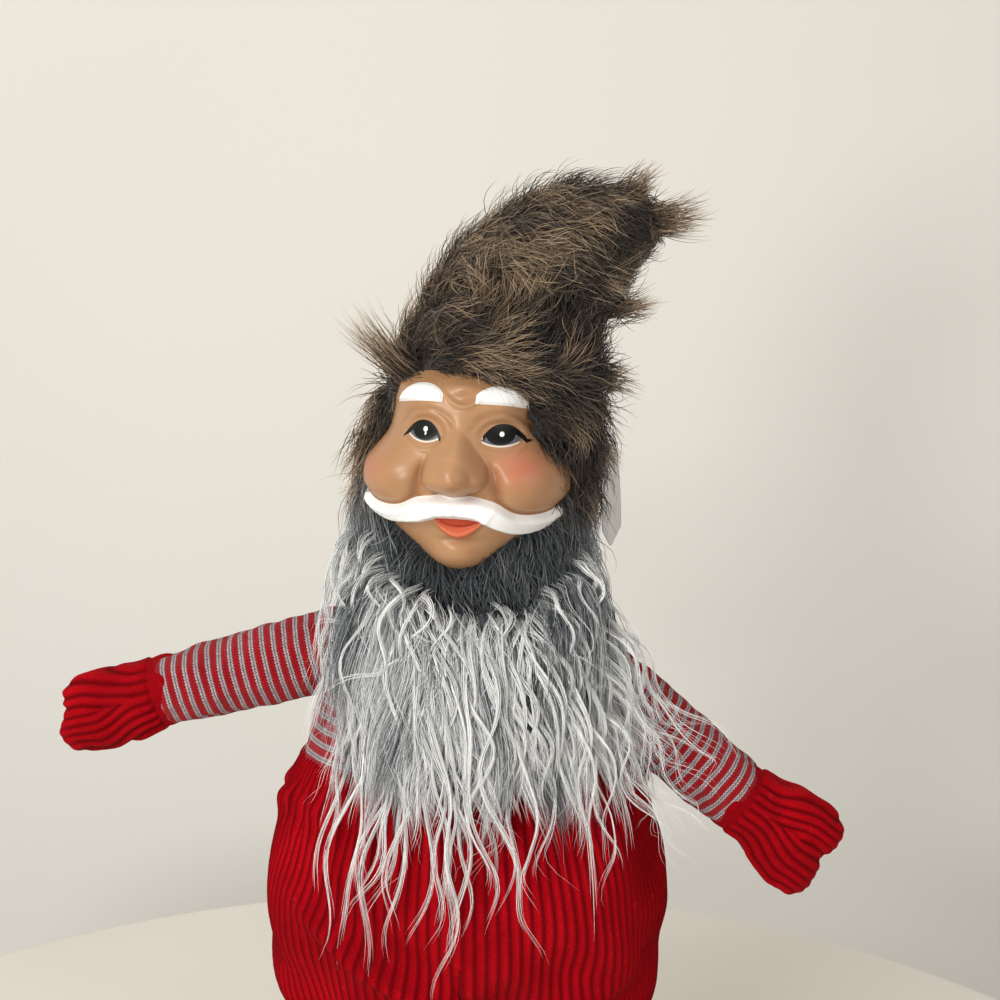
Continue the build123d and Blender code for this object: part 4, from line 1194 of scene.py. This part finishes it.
# ---- boots ------------------------------------------------------------------------------------
def boot(side):
    """A felt boot, and the paths of the running stitches along its sole."""
    x0 = AXIS_X + LEG_X * WAY[side]
    rows, columns = 56, 120
    # (height, half width, half length, the middle of the length)
    levels = [(SOLE_TOP, 22.8, 53, FOOT_Y), (8, 23.4, 53.4, FOOT_Y), (14, 23, 52.6, FOOT_Y),
              (26, 21.4, 46, -14), (34, 20, 34, -5), (41, 19.2, 27, -0.5), (BOOT_TOP, 19, 25, 0.5)]
    ring = table(levels, np.linspace(SOLE_TOP, BOOT_TOP, rows))
    turn = circle(columns)
    toe = smooth(-np.sin(turn), 0, 1)
    grid = stacked(x0 + ring[:, 1:2] * np.cos(turn) * (1 - 0.08 * toe),
                   AXIS_Y + ring[:, 3:4] + ring[:, 2:3] * np.sin(turn), ring[:, :1])
    normal = grid_normals(grid, True)
    seam = bell(grid[..., 1], -30 + 0.5 * (grid[..., 2] - 20), 1.2) * smooth(ring[:, :1], 4, 7)
    heel = bell(grid[..., 0], x0, 1.0) * (grid[..., 1] > AXIS_Y)
    grid = grid + normal * (0.9 * ripple(grid, 34, 151) + 0.4 * ripple(grid, 12, 152) - 1.3 * seam
                            - 0.7 * heel - 0.5)[..., None]
    flat = grid.reshape(-1, 3)
    foot = np.arange(columns)[None, ::-1]
    obj = make_mesh(f"boot_{side}_felt", flat, [grid_faces(rows, columns, True), foot], felt)
    stitches = []
    outline = grid[5]
    step = np.concatenate([[0], np.cumsum(np.linalg.norm(np.diff(outline, axis=0), axis=1))])
    for start in np.arange(0, step[-1], 5.2):
        first, middle, last = (np.array([np.interp(start + d, step, outline[:, i]) for i in range(3)])
                               for d in (0, 1.5, 3.0))
        lift = unit(np.array([middle[0] - x0, (middle[1] - AXIS_Y - FOOT_Y) * 0.4, 0]))
        stitches.append(np.stack([first - lift * 0.4, middle + lift * 0.5, last - lift * 0.4]))
    return obj, np.array(stitches)


def stitch_mesh(name, paths, radius):
    """Short thread loops: each path's three points become a small tube."""
    t = np.linspace(0, 1, 6)
    fine = ((1 - t) ** 2)[None, :, None] * paths[:, :1] + (2 * t * (1 - t))[None, :, None] * (
        2 * paths[:, 1:2] - 0.5 * (paths[:, :1] + paths[:, 2:])) + (t**2)[None, :, None] * paths[:, 2:]
    tangent = unit(np.gradient(fine, axis=1))
    side = unit(np.cross(tangent, (0.0, 0.1, 1.0)))
    up = np.cross(tangent, side)
    angle = np.arange(6) * math.pi / 3
    ring = fine[:, :, None] + radius * (np.cos(angle)[:, None] * side[:, :, None]
                                        + np.sin(angle)[:, None] * up[:, :, None])
    count = len(paths)
    base = (np.arange(count) * 36)[:, None, None]
    faces = grid_faces(6, 6, True)
    return make_mesh(name, ring.reshape(-1, 3), [(faces[None] + base).reshape(-1, 4)], thread)


def make_sole(side):
    columns = 120
    turn = circle(columns)
    # (height, half width, half length), from the tread round the edge to the top
    profile = np.array([(0.3, 22.9, 53.4), (0.0, 23.2, 53.7), (0.6, 24.0, 54.4), (2.4, 24.1, 54.5),
                        (SOLE_TOP, 23.9, 54.3), (4.0, 23.4, 53.8), (4.0, 21.5, 51.5)])
    levels = len(profile)
    grid = stacked(AXIS_X + LEG_X * WAY[side] + profile[:, 1:2] * np.cos(turn),
                   AXIS_Y + FOOT_Y + profile[:, 2:3] * np.sin(turn), profile[:, :1])
    tread, top = np.arange(columns)[None, ::-1], (levels - 1) * columns + np.arange(columns)[None]
    return make_mesh(f"boot_{side}_sole", grid.reshape(-1, 3),
                     [grid_faces(levels, columns, True), tread, top], sole_crepe)


boots, boot_threads, soles = {}, {}, {}
for side in WAY:
    boots[side], stitch_paths = boot(side)
    boot_threads[side] = stitch_mesh(f"boot_{side}_stitches", stitch_paths, 0.42)
    soles[side] = make_sole(side)


# ---- care label ---------------------------------------------------------------------------------
TAPE_WIDE, TAPE_LONG, TAPE_THICK = 16, 48, 0.35
TAPE_POINT = 8  # how far the free end's point goes past its corners


def care_label():
    """A blank tape that hangs from the hood's side seam and bows a little away from it."""
    rows, columns = 60, 14
    v = np.linspace(0, 1, rows)[:, None]
    u = np.linspace(0, 1, columns)[None]
    drop = v * (TAPE_LONG - TAPE_POINT * np.abs(2 * u - 1))
    width_way = np.array([0.55, 0.835, 0])
    face_way = np.array([0.835, -0.55, 0])
    bow = 1.6 * np.sin(2.6 * v) + 1.2 * v**2 - 0.6 * np.sin(math.pi * u)
    top = np.array([HEAD_X + 51.0, AXIS_Y + 4, 357.0])
    front = (top + (u * TAPE_WIDE)[..., None] * width_way + bow[..., None] * face_way
             + drop[..., None] * np.array([0.03, 0, -1.0])).reshape(-1, 3)
    edge = border(rows, columns)
    after, count = np.roll(edge, -1), rows * columns
    rim_faces = np.stack([edge, after, after + count, edge + count], -1)
    faces = grid_faces(rows, columns, False)
    uv = stacked(u, v).reshape(-1, 2)
    return make_mesh("care_label_tape", np.concatenate([front, front + face_way * TAPE_THICK]),
                     [faces, faces[:, ::-1] + count, rim_faces[:, ::-1]], satin_paint(),
                     uv=np.concatenate([uv, uv]))


label = care_label()

# ---- what rides on what -------------------------------------------------------------------------
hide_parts("trousers", "trouser_leg_left", "leg_stuffing_left", "torso_stuffing")
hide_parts("trouser_leg_right", "leg_stuffing_right")
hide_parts("shirt_torso")
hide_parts("beard_panel")
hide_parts("face_mask")
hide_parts("fur_hood", "head_stuffing")
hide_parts("hat_lower", "hat_stuffing", "hat_upper", "hat_tip_stuffing")
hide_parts("care_label")
for piece in (*legs.values(), shirt):
    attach(piece, "torso")
for piece in (face, *hood_pieces, label):
    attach(piece, "head")
for piece in hat_pieces:
    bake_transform(piece)
for piece in beard_pieces:
    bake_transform(piece)
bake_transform(beard_back)
for side in WAY:
    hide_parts(f"sleeve_{side}", f"arm_stuffing_{side}")
    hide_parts(f"mitten_{side}", f"mitten_stuffing_{side}")
    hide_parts(f"boot_{side}")
    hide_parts(f"boot_sole_{side}")
    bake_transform(sleeves[side])
    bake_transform(mittens[side])
    for piece in (boots[side], boot_threads[side], soles[side]):
        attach(piece, "torso")

wire = plain_paint("steel_wire", rgb(150, 150, 150), rgb(190, 190, 190), 3.0, 0.35, Metallic=1.0)
elastic = plain_paint("woven_elastic", rgb(214, 212, 206), rgb(236, 234, 228), 0.8, 0.85)
pellets = plain_paint("pellet_bag", rgb(206, 200, 188), rgb(226, 221, 210), 2.0, 0.8)
for name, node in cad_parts.items():
    if not node.hide_render:
        finish_of = wire if "wire" in name else elastic if "elastic" in name else pellets
        for entry in node.material_slots:
            entry.material = finish_of
        if not node.material_slots:
            node.data.materials.append(finish_of)

# ---- stage, light and camera ----------------------------------------------------------------------
floor_paint = Paint("stage_cream", Roughness=0.75)
floor_paint.set("Base Color", floor_paint.ramp(floor_paint.noise(300, 2), [(0.3, rgb(232, 228, 218)),
                                                                           (0.7, rgb(238, 234, 225))]))
turn = circle(180)
# the table top's edge: (height, radius), from the top round to the underside of its rim
profile = np.array([(0.0, 425), (-1.2, 431), (-4, 435), (-9, 437.5), (-16, 438), (-60, 438)])
table_grid = stacked(-20 + profile[:, 1:2] * np.cos(turn), -45 + profile[:, 1:2] * np.sin(turn),
                     profile[:, :1] - 0.05)
table_faces = [grid_faces(len(profile), len(turn), True)[:, ::-1], np.arange(len(turn))[None]]
table_top = make_mesh("stage_table", table_grid.reshape(-1, 3), table_faces, floor_paint.material)
wall_paint = Paint("stage_wall", Roughness=0.9)
wall_paint.set("Base Color", wall_paint.ramp(wall_paint.noise(700, 2), [(0.3, rgb(232, 229, 221)),
                                                                        (0.7, rgb(236, 233, 226))]))
wall = make_mesh("stage_wall", np.array([(-3000, 760, -400), (3000, 760, -400), (3000, 760, 2600),
                                         (-3000, 760, 2600)], float), [np.array([[0, 1, 2, 3]])],
                 wall_paint.material)

world = bpy.data.worlds.new("studio")
scene.world = world
world.use_nodes = True
world.node_tree.nodes["Background"].inputs[0].default_value = rgb(238, 235, 230)
world.node_tree.nodes["Background"].inputs[1].default_value = 0.5


def lamp(name, place, target, size, power, colour):
    data = bpy.data.lights.new(name, "AREA")
    data.shape, data.size, data.energy, data.color = "DISK", size, power, colour
    obj = bpy.data.objects.new(name, data)
    obj.location = place
    obj.rotation_euler = (Vector(target) - Vector(place)).to_track_quat("-Z", "Y").to_euler()
    scene.collection.objects.link(obj)


lamp("key", (-0.95, -1.15, 1.05), (0.0, 0.0, 0.3), 0.6, 14, (1.0, 0.985, 0.965))
lamp("window", (-0.62, -1.35, 0.42), (0.0, 0.0, 0.3), 0.34, 8, (1.0, 0.99, 0.98))
lamp("fill", (1.3, -1.0, 0.7), (0.0, 0.0, 0.3), 1.2, 5.4, (1.0, 0.955, 0.91))
lamp("wall_wash", (-0.2, -0.5, 1.6), (0.1, 0.76, 0.2), 1.4, 3, (1.0, 0.97, 0.93))

camera_data = bpy.data.cameras.new("camera")
camera_data.lens, camera_data.sensor_width = 54, 36
camera_data.clip_start, camera_data.clip_end = 0.01, 20
camera = bpy.data.objects.new("camera", camera_data)
camera.location = (0.0197, -0.6199, 0.4182)
camera.rotation_euler = (math.radians(82), 0, 0)
scene.collection.objects.link(camera)
scene.camera = camera
scene.view_settings.view_transform = "Standard"
